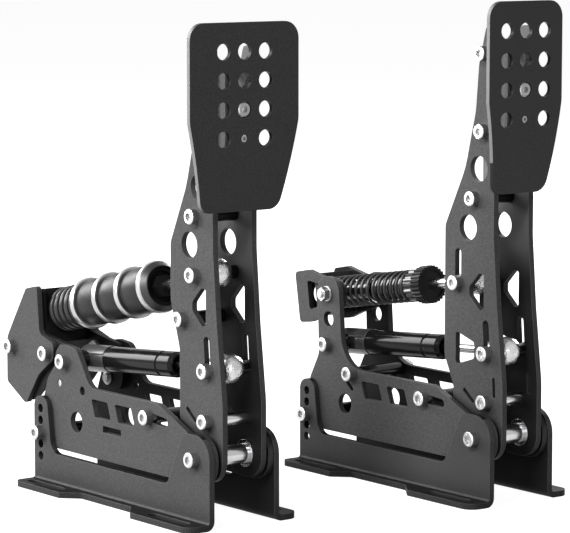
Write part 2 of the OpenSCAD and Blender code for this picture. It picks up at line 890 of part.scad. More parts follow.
module coil(turns, d, h, wire, title) {
    rings = coil_rings(turns, d, h, wire);
    n = len(rings);
    echo(str(title, " least gap between turns, mm: ", coil_gap(rings)));
    polyhedron(
        points = [for (ring = rings, p = ring) p],
        faces = concat(
            [for (i = [0:n - 2], k = [0:5]) [i * 6 + k, (i + 1) * 6 + k, (i + 1) * 6 + (k + 1) % 6]],
            [for (i = [0:n - 2], k = [0:5]) [i * 6 + k, (i + 1) * 6 + (k + 1) % 6, i * 6 + (k + 1) % 6]],
            [for (k = [1:4]) [0, k, k + 1]],
            [for (k = [1:4]) [(n - 1) * 6, (n - 1) * 6 + k + 1, (n - 1) * 6 + k]]
        )
    );
}

// Brake stack, drawn along the push rod

module along_brake_rod() {
    aim(brake_pin, spring_seat_point) children();
}

module stack_washer(s) {
    along_brake_rod() translate([0, 0, s]) difference() {
        rotate_extrude() polygon([
            [0, 0], [washer_d / 2 - 0.8, 0], [washer_d / 2, 0.8], [washer_d / 2, washer_t - 0.8],
            [washer_d / 2 - 0.8, washer_t], [0, washer_t]
        ]);
        translate([0, 0, -1]) cylinder(d = push_rod_d + 2 * run_fit, h = washer_t + 2);
    }
}

// Elastomer that swells a little at mid length
module elastomer(s) {
    gap = 0.1;
    swell = 0.5;
    r = elastomer_d / 2;
    along_brake_rod() translate([0, 0, s + gap]) difference() {
        rotate_extrude() rounded([
            [0, 0, 0], [r - 1, 0, 1], [r - 0.6, elastomer_len * 0.15, 4],
            [r + swell - 0.5, elastomer_len / 2, 30], [r - 0.6, elastomer_len * 0.85, 4],
            [r - 1, elastomer_len - 2 * gap, 1], [0, elastomer_len - 2 * gap, 0]
        ]);
        translate([0, 0, -1]) cylinder(d = push_rod_d + 1, h = elastomer_len + 2);
    }
}

// Cup at the front of the stack: a rim like the washers, a broad bevel and a stepped recess
module stack_cup() {
    r = washer_d / 2;
    bevel = cup_len * 0.45;
    recess = cup_len - washer_t;
    along_brake_rod() translate([0, 0, cup_s]) difference() {
        rotate_extrude() polygon([
            [0, 0], [r - 3.4, 0], [r, bevel], [r, cup_len - 0.8], [r - 0.8, cup_len], [0, cup_len]
        ]);
        translate([0, 0, -1]) cylinder(r = r - 4.4, h = recess * 0.45 + 1);
        translate([0, 0, -1]) cylinder(r = r - 7, h = recess + 1);
        translate([0, 0, -1]) cylinder(d = push_rod_d + 2 * run_fit, h = cup_len + 2);
    }
}

// Lock nut that bears on the floor of the cup
module stack_nut() {
    floor_s = cup_s + cup_len - washer_t;
    along_brake_rod() translate([0, 0, floor_s - 6]) difference() {
        cylinder(r = 8, h = 6, $fn = 6);
        translate([0, 0, -1]) cylinder(d = push_rod_d + 2 * run_fit, h = 8);
    }
}

module brake_rod_shape() {
    along_brake_rod() translate([0, 0, 12]) cylinder(d = push_rod_d, h = brake_rod_end_s - 12);
}

module spring_seat() {
    half = frame_in - plate_t - 0.2;
    along_brake_rod() translate([0, 0, seat_s]) difference() {
        translate([-half, -16, 0]) cube([2 * half, 38, seat_t]);
        translate([0, 0, -1]) cylinder(r = push_rod_d / 2 + rod_room, h = seat_t + 2);
    }
}

// Ring-shaped load cell between the seat and the web of the carrier
module load_cell() {
    r = cell_d / 2;
    along_brake_rod() translate([0, 0, cell_s]) difference() {
        rotate_extrude() polygon([
            [0, 0], [r - 3, 0], [r - 3, 3], [r, 3], [r, cell_len - 3], [r - 3, cell_len - 3],
            [r - 3, cell_len], [0, cell_len]
        ]);
        translate([0, 0, -1]) cylinder(r = push_rod_d / 2 + rod_room + 1, h = cell_len + 2);
    }
}

seat_y = spring_seat_point[0];
seat_z = spring_seat_point[1];
housing_bolt_rear = [housing_rear - 8, tip_z + 3];
housing_bolt_front = [seat_y - 15, tip_z + 3];

// Side plate of the rear housing, with a hollow edge that clears the frame plate
module housing_outline() {
    rear = housing_rear;
    rounded([
        [rear, tip_z - 23, 4],
        [rear, tip_z + 8, 14],
        [seat_y + 13, seat_z + 15.5, 5],
        [seat_y - 1, seat_z + 18.5, 3],
        [seat_y - 4, tip_z + 15, 6],
        [tip_y + 15, tip_z + 10, 5],
        [tip_y + 16, tip_z - 1, 4],
        [tip_y + 34, tip_z - 13, 22],
        [rear - 24, tip_z - 36, 3]
    ]);
}

module housing_plate() {
    plate(frame_in) difference() {
        housing_outline();
        for (p = [housing_bolt_rear, housing_bolt_front]) translate(p) circle(r = hole_r);
    }
}

// Inner flange of the carrier, which reaches forward to the frame tip
module carrier_flange_outline() {
    rounded([
        [housing_rear - 1, tip_z - 21, 4],
        [housing_rear - 1, tip_z + 7, 12],
        [seat_y + 14, seat_z + 13.5, 5],
        [seat_y, seat_z + 16.5, 3],
        [seat_y - 3, tip_z + 15, 6],
        [tip_y + 8, tip_z + 11, 8],
        [tip_y - 10, tip_z + 9, 8],
        [tip_y - 10, inner_screw[1] - 7, 8],
        [inner_screw[0] + 7, inner_screw[1] - 7, 6],
        [inner_screw[0] + 9, tip_z - 6, 3],
        [tip_y + 30, tip_z - 19, 20],
        [housing_rear - 27, tip_z - 34, 3]
    ]);
}

module housing_carrier() {
    x0 = frame_in - plate_t;
    for (side = [-1, 1]) on_side(side) plate(x0) difference() {
        carrier_flange_outline();
        for (p = [tip, inner_screw, housing_bolt_rear, housing_bolt_front]) translate(p) circle(r = hole_r);
    }
    along_brake_rod() translate([0, 0, web_s]) difference() {
        translate([-x0 - 1, -13, 0]) cube([2 * x0 + 2, 27, plate_t]);
        translate([0, 0, -1]) cylinder(r = push_rod_d / 2 + rod_room + 1, h = plate_t + 2);
    }
}

// Short bolt with its nut on the inner face of the carrier flange
module short_bolt(p, x, grip) {
    translate([-x, p[0], p[1]]) socket_bolt(grip + 3);
    translate([grip - x, p[0], p[1]]) rotate([0, 90, 0]) difference() {
        cylinder(d = nut_af / cos(30), h = 3, $fn = 6);
        translate([0, 0, -1]) cylinder(r = bolt_r + run_fit, h = 5);
    }
}

// Stud with a washer and a hexagon nut at x = -x, and a thin nut on the inner face
module post_stud(p, x, grip) {
    translate([-x, p[0], p[1]]) rotate([0, 90, 0]) {
        rotate_extrude() polygon([
            [0, -bolt_head_h - 2], [bolt_r - 1.1, -bolt_head_h - 2], [bolt_r - 0.6, -bolt_head_h - 1.5],
            [bolt_r - 0.6, -1], [bolt_r + 2.4, -1], [bolt_r + 2.4, 0], [bolt_r, 0],
            [bolt_r, grip + 3], [0, grip + 3]
        ]);
        translate([0, 0, -bolt_head_h]) cylinder(d = (nut_af - 1.5) / cos(30), h = bolt_head_h - 1, $fn = 6);
    }
    translate([grip - x, p[0], p[1]]) rotate([0, 90, 0]) difference() {
        cylinder(d = nut_af / cos(30), h = 3, $fn = 6);
        translate([0, 0, -1]) cylinder(r = bolt_r + run_fit, h = 5);
    }
}

// Low round-headed screw, set from inside the carrier into the frame plate
module inner_button_screw() {
    x0 = frame_in - plate_t;
    translate([x0, inner_screw[0], inner_screw[1]]) rotate([0, 90, 0]) rotate_extrude() polygon([
        [0, -2.6], [3, -2.6], [5, -0.8], [5, 0], [bolt_r, 0], [bolt_r, plate_t],
        [bolt_r * 0.8 - 0.05, plate_t], [bolt_r * 0.8 - 0.05, 2 * plate_t - 0.5], [0, 2 * plate_t - 0.5]
    ]);
}

module housing_bolts() {
    for (side = [-1, 1]) on_side(side) {
        for (p = [housing_bolt_rear, housing_bolt_front])
            mirror([1, 0, 0]) short_bolt(p, frame_out, 2 * plate_t);
        inner_button_screw();
    }
}

// Throttle spring unit, drawn along the push rod

module along_throttle_rod() {
    aim(throttle_pin, post_pin) children();
}

bracket_x = frame_in - swing_gap;

// Flange of the tilting bracket with its rear window
module bracket_flange_outline() {
    r = 10;
    rounded([
        [post_y - r, post_z + r + 1, 8],
        [post_y + 8, post_z + r, 10],
        [post_y + 28, post_z + 14, 5],
        [post_y + 43.5, post_z + 11, 3],
        [post_y + 37.5, post_z - 25, 3],
        [post_y + 25, post_z - 23.5, 6],
        [post_y + 12, post_z - 18, 8],
        [post_y - r, post_z - r - 1, 8]
    ]);
}

// Web across the bracket at station s, let 1 mm into both flanges, with a bore for the push rod
module bracket_web(s, below, above, bore_r) {
    half = bracket_x - plate_t + 1;
    translate([0, 0, s]) difference() {
        translate([-half, -above, 0]) cube([2 * half, below + above, plate_t]);
        translate([0, 0, -1]) cylinder(r = bore_r, h = plate_t + 2);
    }
}

module spring_bracket() {
    for (side = [-1, 1]) on_side(side) plate(bracket_x - plate_t) difference() {
        bracket_flange_outline();
        translate(post_pin) circle(r = bolt_r + run_fit);
        rounded([
            [post_y + 14.5, post_z + 5, 2], [post_y + 29.5, post_z + 6.3, 2],
            [post_y + 26.3, post_z - 14.8, 2], [post_y + 14.8, post_z - 11, 2]
        ]);
    }
    along_throttle_rod() {
        bracket_web(bracket_web_s, 15, 15, push_rod_d / 2 + throttle_rod_room);
        bracket_web(bracket_web_s + 17, 16, 14, push_rod_d / 2 + 5);
    }
}

// Tube inside the throttle spring, set in the web of the bracket
module spring_guide() {
    along_throttle_rod() translate([0, 0, bracket_web_s - guide_len]) difference() {
        union() {
            cylinder(r = push_rod_d / 2 + throttle_rod_room + 1.2, h = guide_len);
            translate([0, 0, guide_len - 2]) cylinder(r = push_rod_d / 2 + throttle_rod_room + 2.4, h = 2);
        }
        translate([0, 0, -1]) cylinder(r = push_rod_d / 2 + throttle_rod_room, h = guide_len + 2);
    }
}

// Outline of a toothed rim, every second step drawn in
module toothed(r, depth, teeth) {
    polygon([
        for (i = [0:4 * teeth - 1])
            let (a = 90 * i / teeth)
            (r - (i % 4 < 2 ? 0 : depth)) * [cos(a), sin(a)]
    ]);
}

// Collar that the spring pushes on, with a toothed rim and a long threaded tube inside the spring
module spring_collar() {
    inner = push_rod_d / 2 + run_fit;
    tube_in = push_rod_d / 2 + 2 * throttle_rod_room + 1.5;
    along_throttle_rod() translate([0, 0, collar_s]) difference() {
        union() {
            linear_extrude(collar_len) toothed(11.3, 1, 16);
            cylinder(r = tube_in + 1, h = collar_len + tube_len);
        }
        translate([0, 0, -1]) cylinder(r = inner, h = collar_len + 2);
        translate([0, 0, collar_len - 2]) cylinder(r = tube_in, h = tube_len + 3);
    }
}

// Knurled knob, its rim drawn by a formula
module preload_knob() {
    along_throttle_rod() translate([0, 0, collar_s - knob_len]) difference() {
        linear_extrude(knob_len - 0.1) toothed(knob_d / 2, 0.9, 28);
        translate([0, 0, -1]) cylinder(d = push_rod_d + 2 * run_fit, h = knob_len + 2);
        translate([0, 0, -1]) cylinder(r = knob_d / 2 - 3, h = 2);
    }
}

// Push rod with the stop collar behind the web
module throttle_rod_shape() {
    along_throttle_rod() {
        translate([0, 0, 12]) cylinder(d = push_rod_d, h = throttle_rod_end_s - 12);
        translate([0, 0, bracket_web_s + plate_t + face_gap]) cylinder(d = push_rod_d + 6, h = 6, $fn = 6);
    }
}

plate_colour = [0.16, 0.16, 0.17];
steel_colour = [0.75, 0.75, 0.77];
rubber_colour = [0.06, 0.06, 0.06];
gloss_colour = [0.1, 0.1, 0.11];

// The nodes

module brake_left_foot_bracket() {
    color(plate_colour) at_brake() on_side(-1) foot_bracket();
}

module brake_right_foot_bracket() {
    color(plate_colour) at_brake() foot_bracket();
}

module brake_left_frame_plate() {
    color(plate_colour) at_brake() on_side(-1) brake_frame_shape();
}

module brake_right_frame_plate() {
    color(plate_colour) at_brake() brake_frame_shape();
}

module brake_frame_spacers() {
    color(steel_colour) at_brake() brake_frame_spacer_shapes();
}

module brake_frame_bolts() {
    color(steel_colour) at_brake() brake_frame_bolt_shapes();
}

module brake_pivot_shaft() {
    color(steel_colour) at_brake() pivot_shaft();
}

module brake_pivot_bushes() {
    color(steel_colour) at_brake() for (side = [-1, 1]) on_side(side) pivot_bush();
}

module brake_left_arm_plate() {
    color(plate_colour) at_brake() on_side(-1) brake_arm_shape();
}

module brake_right_arm_plate() {
    color(plate_colour) at_brake() brake_arm_shape();
}

module brake_arm_spacers() {
    color(steel_colour) at_brake() arm_spacers([low_spacer, mid_spacer, top_spacer], [brake_pin, damper_pin]);
}

module brake_arm_bolts() {
    color(steel_colour) at_brake()
        arm_bolts(concat([low_spacer, mid_spacer, top_spacer, brake_pin, damper_pin], face_bolts));
}

module brake_face_mount() {
    color(plate_colour) at_brake() face_mount(0);
}

module brake_face_plate() {
    color(plate_colour) at_brake() face_plate(brake_face_w, 0);
}

module brake_face_screws() {
    color(steel_colour) at_brake() face_screws(0);
}

module brake_damper_cylinder() {
    color(gloss_colour) at_brake() damper_cylinder(tip);
}

module brake_damper_rod() {
    color(steel_colour) at_brake() damper_rod(tip);
}

module brake_damper_rod_end() {
    color(steel_colour) at_brake() damper_rod_end(tip);
}

module brake_push_rod() {
    color(steel_colour) at_brake() brake_rod_shape();
}

module brake_push_rod_end() {
    color(steel_colour) at_brake() along_brake_rod() rod_end(neck_len, push_rod_d / 2 + run_fit);
}

module brake_left_housing_plate() {
    color(plate_colour) at_brake() on_side(-1) housing_plate();
}

module brake_right_housing_plate() {
    color(plate_colour) at_brake() housing_plate();
}

module brake_housing_carrier() {
    color(plate_colour) at_brake() housing_carrier();
}

module brake_housing_bolts() {
    color(steel_colour) at_brake() housing_bolts();
}

module brake_spring_seat() {
    color(plate_colour) at_brake() spring_seat();
}

module brake_load_cell() {
    color(steel_colour) at_brake() load_cell();
}

module brake_coil_spring() {
    color(gloss_colour) at_brake() along_brake_rod()
        translate([0, 0, seat_s - coil_len + 0.1])
        coil(coil_turns, coil_d, coil_len - 0.2, coil_wire, "brake coil spring");
}

module brake_rear_elastomer() {
    color(rubber_colour) at_brake() elastomer(middle_washer_s + washer_t);
}

module brake_middle_elastomer() {
    color(rubber_colour) at_brake() elastomer(front_washer_s + washer_t);
}

module brake_front_elastomer() {
    color(rubber_colour) at_brake() elastomer(cup_s + cup_len);
}

module brake_rear_washer() {
    color(steel_colour) at_brake() stack_washer(rear_washer_s);
}

module brake_middle_washer() {
    color(steel_colour) at_brake() stack_washer(middle_washer_s);
}

module brake_front_washer() {
    color(steel_colour) at_brake() stack_washer(front_washer_s);
}

module brake_stack_cup() {
    color(steel_colour) at_brake() stack_cup();
}

module brake_stack_nut() {
    color(steel_colour) at_brake() stack_nut();
}

module throttle_left_foot_bracket() {
    color(plate_colour) at_throttle() on_side(-1) foot_bracket();
}

module throttle_right_foot_bracket() {
    color(plate_colour) at_throttle() foot_bracket();
}

module throttle_left_frame_plate() {
    color(plate_colour) at_throttle() on_side(-1) throttle_frame_shape();
}

module throttle_right_frame_plate() {
    color(plate_colour) at_throttle() throttle_frame_shape();
}

module throttle_frame_spacers() {
    color(steel_colour) at_throttle() throttle_frame_spacer_shapes();
}

module throttle_frame_bolts() {
    color(steel_colour) at_throttle() throttle_frame_bolt_shapes();
}

module throttle_pivot_shaft() {
    color(steel_colour) at_throttle() pivot_shaft();
}

module throttle_pivot_bushes() {
    color(steel_colour) at_throttle() for (side = [-1, 1]) on_side(side) pivot_bush();
}

module throttle_left_arm_plate() {
    color(plate_colour) at_throttle() on_side(-1) throttle_arm_shape();
}

module throttle_right_arm_plate() {
    color(plate_colour) at_throttle() throttle_arm_shape();
}

module throttle_arm_spacers() {
    color(steel_colour) at_throttle()
        arm_spacers(lift_all([low_spacer, top_spacer], throttle_rise), [throttle_pin, damper_pin]);
}

module throttle_arm_bolts() {
    raised = lift_all(concat([low_spacer, top_spacer], face_bolts), throttle_rise);
    color(steel_colour) at_throttle() arm_bolts(concat([throttle_pin, damper_pin], raised));
}

module throttle_face_mount() {
    color(plate_colour) at_throttle() face_mount(throttle_rise);
}

module throttle_face_plate() {
    color(plate_colour) at_throttle() face_plate(throttle_face_w, throttle_rise);
}

module throttle_face_screws() {
    color(steel_colour) at_throttle() face_screws(throttle_rise);
}

module throttle_damper_cylinder() {
    color(gloss_colour) at_throttle() damper_cylinder(post_damper);
}

module throttle_damper_rod() {
    color(steel_colour) at_throttle() damper_rod(post_damper);
}

module throttle_damper_rod_end() {
    color(steel_colour) at_throttle() damper_rod_end(post_damper);
}

module throttle_push_rod() {
    color(steel_colour) at_throttle() throttle_rod_shape();
}

module throttle_push_rod_end() {
    color(steel_colour) at_throttle() along_throttle_rod() rod_end(neck_len, push_rod_d / 2 + run_fit);
}

module throttle_spring_bracket() {
    color(plate_colour) at_throttle() spring_bracket();
}

module throttle_coil_spring() {
    color(gloss_colour) at_throttle() along_throttle_rod()
        translate([0, 0, fine_spring_s + 0.1])
        coil(fine_turns, fine_spring_d, fine_spring_len - 0.2, fine_wire, "throttle coil spring");
}

module throttle_spring_collar() {
    color(steel_colour) at_throttle() spring_collar();
}

module throttle_preload_knob() {
    color(gloss_colour) at_throttle() preload_knob();
}

module throttle_spring_guide() {
    color(steel_colour) at_throttle() spring_guide();
}

brake_left_foot_bracket();
brake_right_foot_bracket();
brake_left_frame_plate();
brake_right_frame_plate();
brake_frame_spacers();
brake_frame_bolts();
brake_pivot_shaft();
brake_pivot_bushes();
brake_left_arm_plate();
brake_right_arm_plate();
brake_arm_spacers();
brake_arm_bolts();
brake_face_mount();
brake_face_plate();
brake_face_screws();
brake_damper_cylinder();
brake_damper_rod();
brake_damper_rod_end();
brake_push_rod();
brake_push_rod_end();
brake_left_housing_plate();
brake_right_housing_plate();
brake_housing_carrier();
brake_housing_bolts();
brake_spring_seat();
brake_load_cell();
brake_coil_spring();
brake_rear_elastomer();
brake_middle_elastomer();
brake_front_elastomer();
brake_rear_washer();
brake_middle_washer();
brake_front_washer();
brake_stack_cup();
brake_stack_nut();
throttle_left_foot_bracket();
throttle_right_foot_bracket();
throttle_left_frame_plate();
throttle_right_frame_plate();
throttle_frame_spacers();
throttle_frame_bolts();
throttle_pivot_shaft();
throttle_pivot_bushes();
throttle_left_arm_plate();
throttle_right_arm_plate();
throttle_arm_spacers();
throttle_arm_bolts();
throttle_face_mount();
throttle_face_plate();
throttle_face_screws();
throttle_damper_cylinder();
throttle_damper_rod();
throttle_damper_rod_end();
throttle_push_rod();
throttle_push_rod_end();
throttle_spring_bracket();
throttle_coil_spring();
throttle_spring_collar();
throttle_preload_knob();
throttle_spring_guide();
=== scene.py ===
# %% [markdown]
# # A brake and a throttle pedal for a driving simulator
# The real set is laser-cut and folded steel plate under a grainy black powder coat, with bright socket screws, two
# gloss black dampers, a stack of rubber blocks on the brake and a fine coil spring on the throttle.
# The CAD model already holds every rigid part at its exact place, so this lesson doesn't make those again. It gives
# them their finishes, and it remakes the springs and the rubber blocks as smooth round meshes.
# Everything is in metres, in the same frame as the CAD: +Z up, and -Y towards the driver.

import math

import bpy
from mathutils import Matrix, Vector


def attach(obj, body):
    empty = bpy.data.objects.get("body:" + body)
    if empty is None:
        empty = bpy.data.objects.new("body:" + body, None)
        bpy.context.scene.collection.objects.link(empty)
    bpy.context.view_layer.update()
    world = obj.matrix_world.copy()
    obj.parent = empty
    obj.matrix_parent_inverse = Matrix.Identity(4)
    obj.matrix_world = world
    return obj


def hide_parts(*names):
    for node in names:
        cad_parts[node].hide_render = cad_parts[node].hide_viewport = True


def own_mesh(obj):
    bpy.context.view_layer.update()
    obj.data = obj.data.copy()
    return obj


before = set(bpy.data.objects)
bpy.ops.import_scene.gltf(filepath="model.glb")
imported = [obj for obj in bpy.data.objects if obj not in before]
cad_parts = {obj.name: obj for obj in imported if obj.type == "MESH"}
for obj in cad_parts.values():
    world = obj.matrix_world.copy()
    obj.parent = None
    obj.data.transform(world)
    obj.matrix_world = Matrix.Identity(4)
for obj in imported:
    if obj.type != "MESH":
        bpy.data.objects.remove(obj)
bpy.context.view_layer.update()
print("CAD parts:", len(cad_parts))

# %% [markdown]
# ## Places
# A real module is measured from its pivot line, in millimetres, and so is this one: a small function turns a point
# of a side view into a point of the scene. Scene coordinates typed by hand would work too, but then nothing
# would show that both modules share the same measures. The numbers repeat the ones in the CAD source.

# %% Module places
MM = 0.001
MODULE = {"brake": Vector((-96.5, -82.0, 0)) * MM, "throttle": Vector((96.5, -133.0, 0)) * MM}


def at(module, y, z):
    """The point y behind the pivot line and z above the floor, in the module's middle plane, in millimetres."""
    return MODULE[module] + Vector((0, y, z)) * MM


# %% Pins and seats that the rods run between
BRAKE_PIN = (13.0, 162.0)
BRAKE_SEAT = (193.9, 118.6)
BRAKE_TIP = (157.0, 89.0)
THROTTLE_PIN = (30.0, 146.0)
THROTTLE_POST = (164.0, 125.0)
THROTTLE_POST_LOW = (164.0, 89.0)
DAMPER_PIN = (0.0, 101.0)


# %% [markdown]
# ## Rods
# The springs, blocks and dampers all sit on slanted rods. Each rod gets its own frame: a length s along it, a
# radius r and an angle round it. Pieces can then be drawn as if their rod lay flat on the bench.

# %% A rod with its own frame
class Rod:
    """A line from start to end. s runs along it from the start, in millimetres."""

    def __init__(self, start, end):
        self.start = start
        self.along = (end - start).normalized()
        self.side = Vector((1, 0, 0))
        self.up = self.along.cross(self.side)
        self.length = (end - start).length / MM

    def point(self, s, r=0.0, angle=0.0):
        out = self.side * math.cos(angle) + self.up * math.sin(angle)
        return self.start + self.along * (s * MM) + out * (r * MM)


brake_rod = Rod(at("brake", *BRAKE_PIN), at("brake", *BRAKE_SEAT))
throttle_rod = Rod(at("throttle", *THROTTLE_PIN), at("throttle", *THROTTLE_POST))
brake_damper = Rod(at("brake", *BRAKE_TIP), at("brake", *DAMPER_PIN))
throttle_damper = Rod(at("throttle", *THROTTLE_POST_LOW), at("throttle", *DAMPER_PIN))
print("rod lengths to seat and post, mm:", round(brake_rod.length, 2), round(throttle_rod.length, 2))

# %% [markdown]
# ## Camera
# The photograph was taken from the driver's left, from a little above the faces, with a long lens. A short lens
# close by would make the nearer module look much larger, so the camera stands well back and looks through a long one.

# %% Camera
CAMERA_AZIMUTH = 37.3
CAMERA_PITCH = 6.9
CAMERA_PLACE = MODULE["brake"] + Vector((-1133.2, -1546.5, 399.5)) * MM
FOCAL_PX, PICTURE_PX = 3000, 570

azimuth, pitch = math.radians(CAMERA_AZIMUTH), math.radians(CAMERA_PITCH)
look = Vector((math.sin(azimuth) * math.cos(pitch), math.cos(azimuth) * math.cos(pitch), -math.sin(pitch)))
lens = bpy.data.cameras.new("photo_camera")
lens.sensor_width = 36
lens.lens = FOCAL_PX / PICTURE_PX * lens.sensor_width
lens.clip_start, lens.clip_end = 0.05, 60
camera = bpy.data.objects.new("photo_camera", lens)
bpy.context.scene.collection.objects.link(camera)
camera.location = CAMERA_PLACE
camera.rotation_mode = "QUATERNION"
camera.rotation_quaternion = look.to_track_quat("-Z", "Y")
bpy.context.scene.camera = camera
print("lens in mm:", round(lens.lens, 1))

# %% [markdown]
# ## White ground
# The photograph has a plain white ground. Strong light on a grey floor would also turn it white, but it would wash
# out the black parts. So the world and the floor are white only where the camera or a mirror-like surface looks at
# them, which Light Path tells, and both are dim as lamps. The object's shadow still falls on the floor.

# %% White where it is looked at
bpy.context.scene.view_settings.view_transform = "Standard"


def looked_at(nodes, links):
    """1 for rays from the camera, from a reflection or through glass, and 0 for light falling on a surface."""
    paths = nodes.new("ShaderNodeLightPath")
    result = paths.outputs["Is Camera Ray"]
    for label in ("Is Glossy Ray", "Is Transmission Ray"):
        either = nodes.new("ShaderNodeMath")
        either.operation = "MAXIMUM"
        links.new(result, either.inputs[0])
        links.new(paths.outputs[label], either.inputs[1])
        result = either.outputs[0]
    return result


# %% Floor sheet
FLOOR_HALF = 9
FLOOR_DROP = 0.0004  # keeps the floor clear of the soles, so that the two don't flicker
corners = [(-FLOOR_HALF, -FLOOR_HALF, 0), (FLOOR_HALF, -FLOOR_HALF, 0),
           (FLOOR_HALF, FLOOR_HALF, 0), (-FLOOR_HALF, FLOOR_HALF, 0)]
floor_mesh = bpy.data.meshes.new("floor")
floor_mesh.from_pydata(corners, [], [(0, 1, 2, 3)])
floor = bpy.data.objects.new("floor", floor_mesh)
bpy.context.scene.collection.objects.link(floor)
floor.location.z = -FLOOR_DROP
print("floor side in metres:", 2 * FLOOR_HALF)

# %% Floor paint
FLOOR_TONE, FLOOR_GLOW = 0.3, 0.95
floor_paint = bpy.data.materials.new("pale_floor")
floor_paint.use_nodes = True
nodes, links = floor_paint.node_tree.nodes, floor_paint.node_tree.links
floor_shader = nodes["Principled BSDF"]
floor_shader.inputs["Base Color"].default_value = (FLOOR_TONE, FLOOR_TONE, FLOOR_TONE, 1)
floor_shader.inputs["Roughness"].default_value = 1.0
floor_shader.inputs["Specular IOR Level"].default_value = 0.0
floor_shader.inputs["Emission Strength"].default_value = 1.0
glow = nodes.new("ShaderNodeMix")
glow.data_type = "RGBA"
glow_low, glow_high = [s for s in glow.inputs if s.type == "RGBA"]
glow_low.default_value = (0, 0, 0, 1)
glow_high.default_value = (FLOOR_GLOW, FLOOR_GLOW, FLOOR_GLOW, 1)
links.new(looked_at(nodes, links), glow.inputs["Factor"])
links.new([s for s in glow.outputs if s.type == "RGBA"][0], floor_shader.inputs["Emission Color"])
floor_mesh.materials.append(floor_paint)
print("floor glow:", FLOOR_GLOW)

# %% World
WORLD_DIM = 0.05
world = bpy.data.worlds.new("studio")
bpy.context.scene.world = world
world.use_nodes = True
nodes, links = world.node_tree.nodes, world.node_tree.links
seen = nodes["Background"]
seen.inputs["Color"].default_value = (1, 1, 1, 1)
seen.inputs["Strength"].default_value = 1.0
dim = nodes.new("ShaderNodeBackground")
dim.inputs["Color"].default_value = (1, 1, 1, 1)
dim.inputs["Strength"].default_value = WORLD_DIM
mix = nodes.new("ShaderNodeMixShader")
links.new(looked_at(nodes, links), mix.inputs[0])
links.new(dim.outputs[0], mix.inputs[1])
links.new(seen.outputs[0], mix.inputs[2])
links.new(mix.outputs[0], nodes["World Output"].inputs["Surface"])
print("world as a lamp:", WORLD_DIM)

# %% [markdown]
# ## Softboxes
# Black plates show their shape only by how light falls on them, and the photograph has its light on the left: the
# sides are grey and the fronts nearly black. Two large boxes make that light. One alone would let the brake throw
# its whole shadow on the throttle. A third box behind draws the rear edges, a weak one in front fills the faces,
# and one on the right keeps the far side readable when the model is turned.


# %% Softboxes
def softbox(name, place, aim_z, width, height, watts):
    lamp = bpy.data.lights.new(name, "AREA")
    lamp.shape = "RECTANGLE"
    lamp.size, lamp.size_y = width, height
    lamp.energy = watts
    box = bpy.data.objects.new(name, lamp)
    bpy.context.scene.collection.objects.link(box)
    box.location = place
    box.rotation_mode = "QUATERNION"
    box.rotation_quaternion = (Vector((0, 0, aim_z)) - Vector(place)).to_track_quat("-Z", "Y")
    print(name, "at", place, "with", watts, "W")


softbox("key_left", (-2.25, 1.1, 1.25), 0.12, 1.1, 1.0, 85)
softbox("key_side", (-2.5, -0.8, 2.2), 0.10, 1.0, 1.0, 130)
softbox("back_left", (-0.55, 1.5, 0.85), 0.15, 0.9, 0.9, 36)
softbox("front_fill", (-1.3, -1.7, 0.6), 0.15, 0.8, 0.8, 8)
softbox("right_fill", (2.3, 0.9, 0.9), 0.15, 1.0, 1.0, 110)

# %% [markdown]
# ## Effects that several finishes share
# Powder coat, turned steel and rubber all need fine unevenness, every machined edge is slightly broken, and the
# places between the plates lie in the dark. Each effect is a node group with named inputs, built once, so that
# every finish places it with its own values. The alternative, the same nodes again in each material, would soon
# drift apart.


# %% Node group helpers
def new_group(name, inputs, outputs):
    group = bpy.data.node_groups.new(name, "ShaderNodeTree")
    for label, kind, value in inputs:
        made = group.interface.new_socket(name=label, in_out="INPUT", socket_type=kind)
        if value is not None:
            made.default_value = value
    for label, kind in outputs:
        group.interface.new_socket(name=label, in_out="OUTPUT", socket_type=kind)
    return group, group.nodes.new("NodeGroupInput"), group.nodes.new("NodeGroupOutput")


def add(tree, kind, operation=None, **values):
    """One more node in the tree. The values fill its sockets by name, with _ for a space."""
    made = tree.nodes.new("ShaderNode" + kind)
    if operation is not None:
        made.operation = operation
    for label, value in values.items():
        made.inputs[label.replace("_", " ")].default_value = value
    return made


def calc(tree, operation, first, second=0.0):
    """A sum on two values, each of them a number or a socket."""
    made = add(tree, "Math", operation)
    for value, socket in ((first, made.inputs[0]), (second, made.inputs[1])):
        if isinstance(value, float):
            socket.default_value = value
        else:
            tree.links.new(value, socket)
    return made.outputs[0]


# %% [markdown]
# ### Fine grain
# Powder coat dries with a fine orange-peel skin, and steel and rubber are never quite even. One fine noise gives
# the height of the skin, a slow one gives clouds of tone, and the deep spots of the fine one make dark specks.
# An image of a real surface could do the same, but noise has no seams and needs no file.

# %% Fine grain
SPECK_FROM, SPECK_TO = 0.38, 0.62
grain, entry, leave = new_group(
    "fine_grain",
    [("Scale", "NodeSocketFloat", 1500.0), ("Cloud Scale", "NodeSocketFloat", 40.0)],
    [("Height", "NodeSocketFloat"), ("Cloud", "NodeSocketFloat"), ("Open", "NodeSocketFloat")],
)
where = add(grain, "TexCoord")
fine = add(grain, "TexNoise", Detail=3, Roughness=0.6)
cloud = add(grain, "TexNoise", Detail=4)
opened = add(grain, "MapRange", From_Min=SPECK_FROM, From_Max=SPECK_TO)
grain.links.new(where.outputs["Object"], fine.inputs["Vector"])
grain.links.new(where.outputs["Object"], cloud.inputs["Vector"])
grain.links.new(entry.outputs["Scale"], fine.inputs["Scale"])
grain.links.new(entry.outputs["Cloud Scale"], cloud.inputs["Scale"])
grain.links.new(fine.outputs[0], opened.inputs["Value"])
grain.links.new(fine.outputs[0], leave.inputs["Height"])
grain.links.new(cloud.outputs[0], leave.inputs["Cloud"])
grain.links.new(opened.outputs["Result"], leave.inputs["Open"])
print("fine grain: specks below", SPECK_TO)

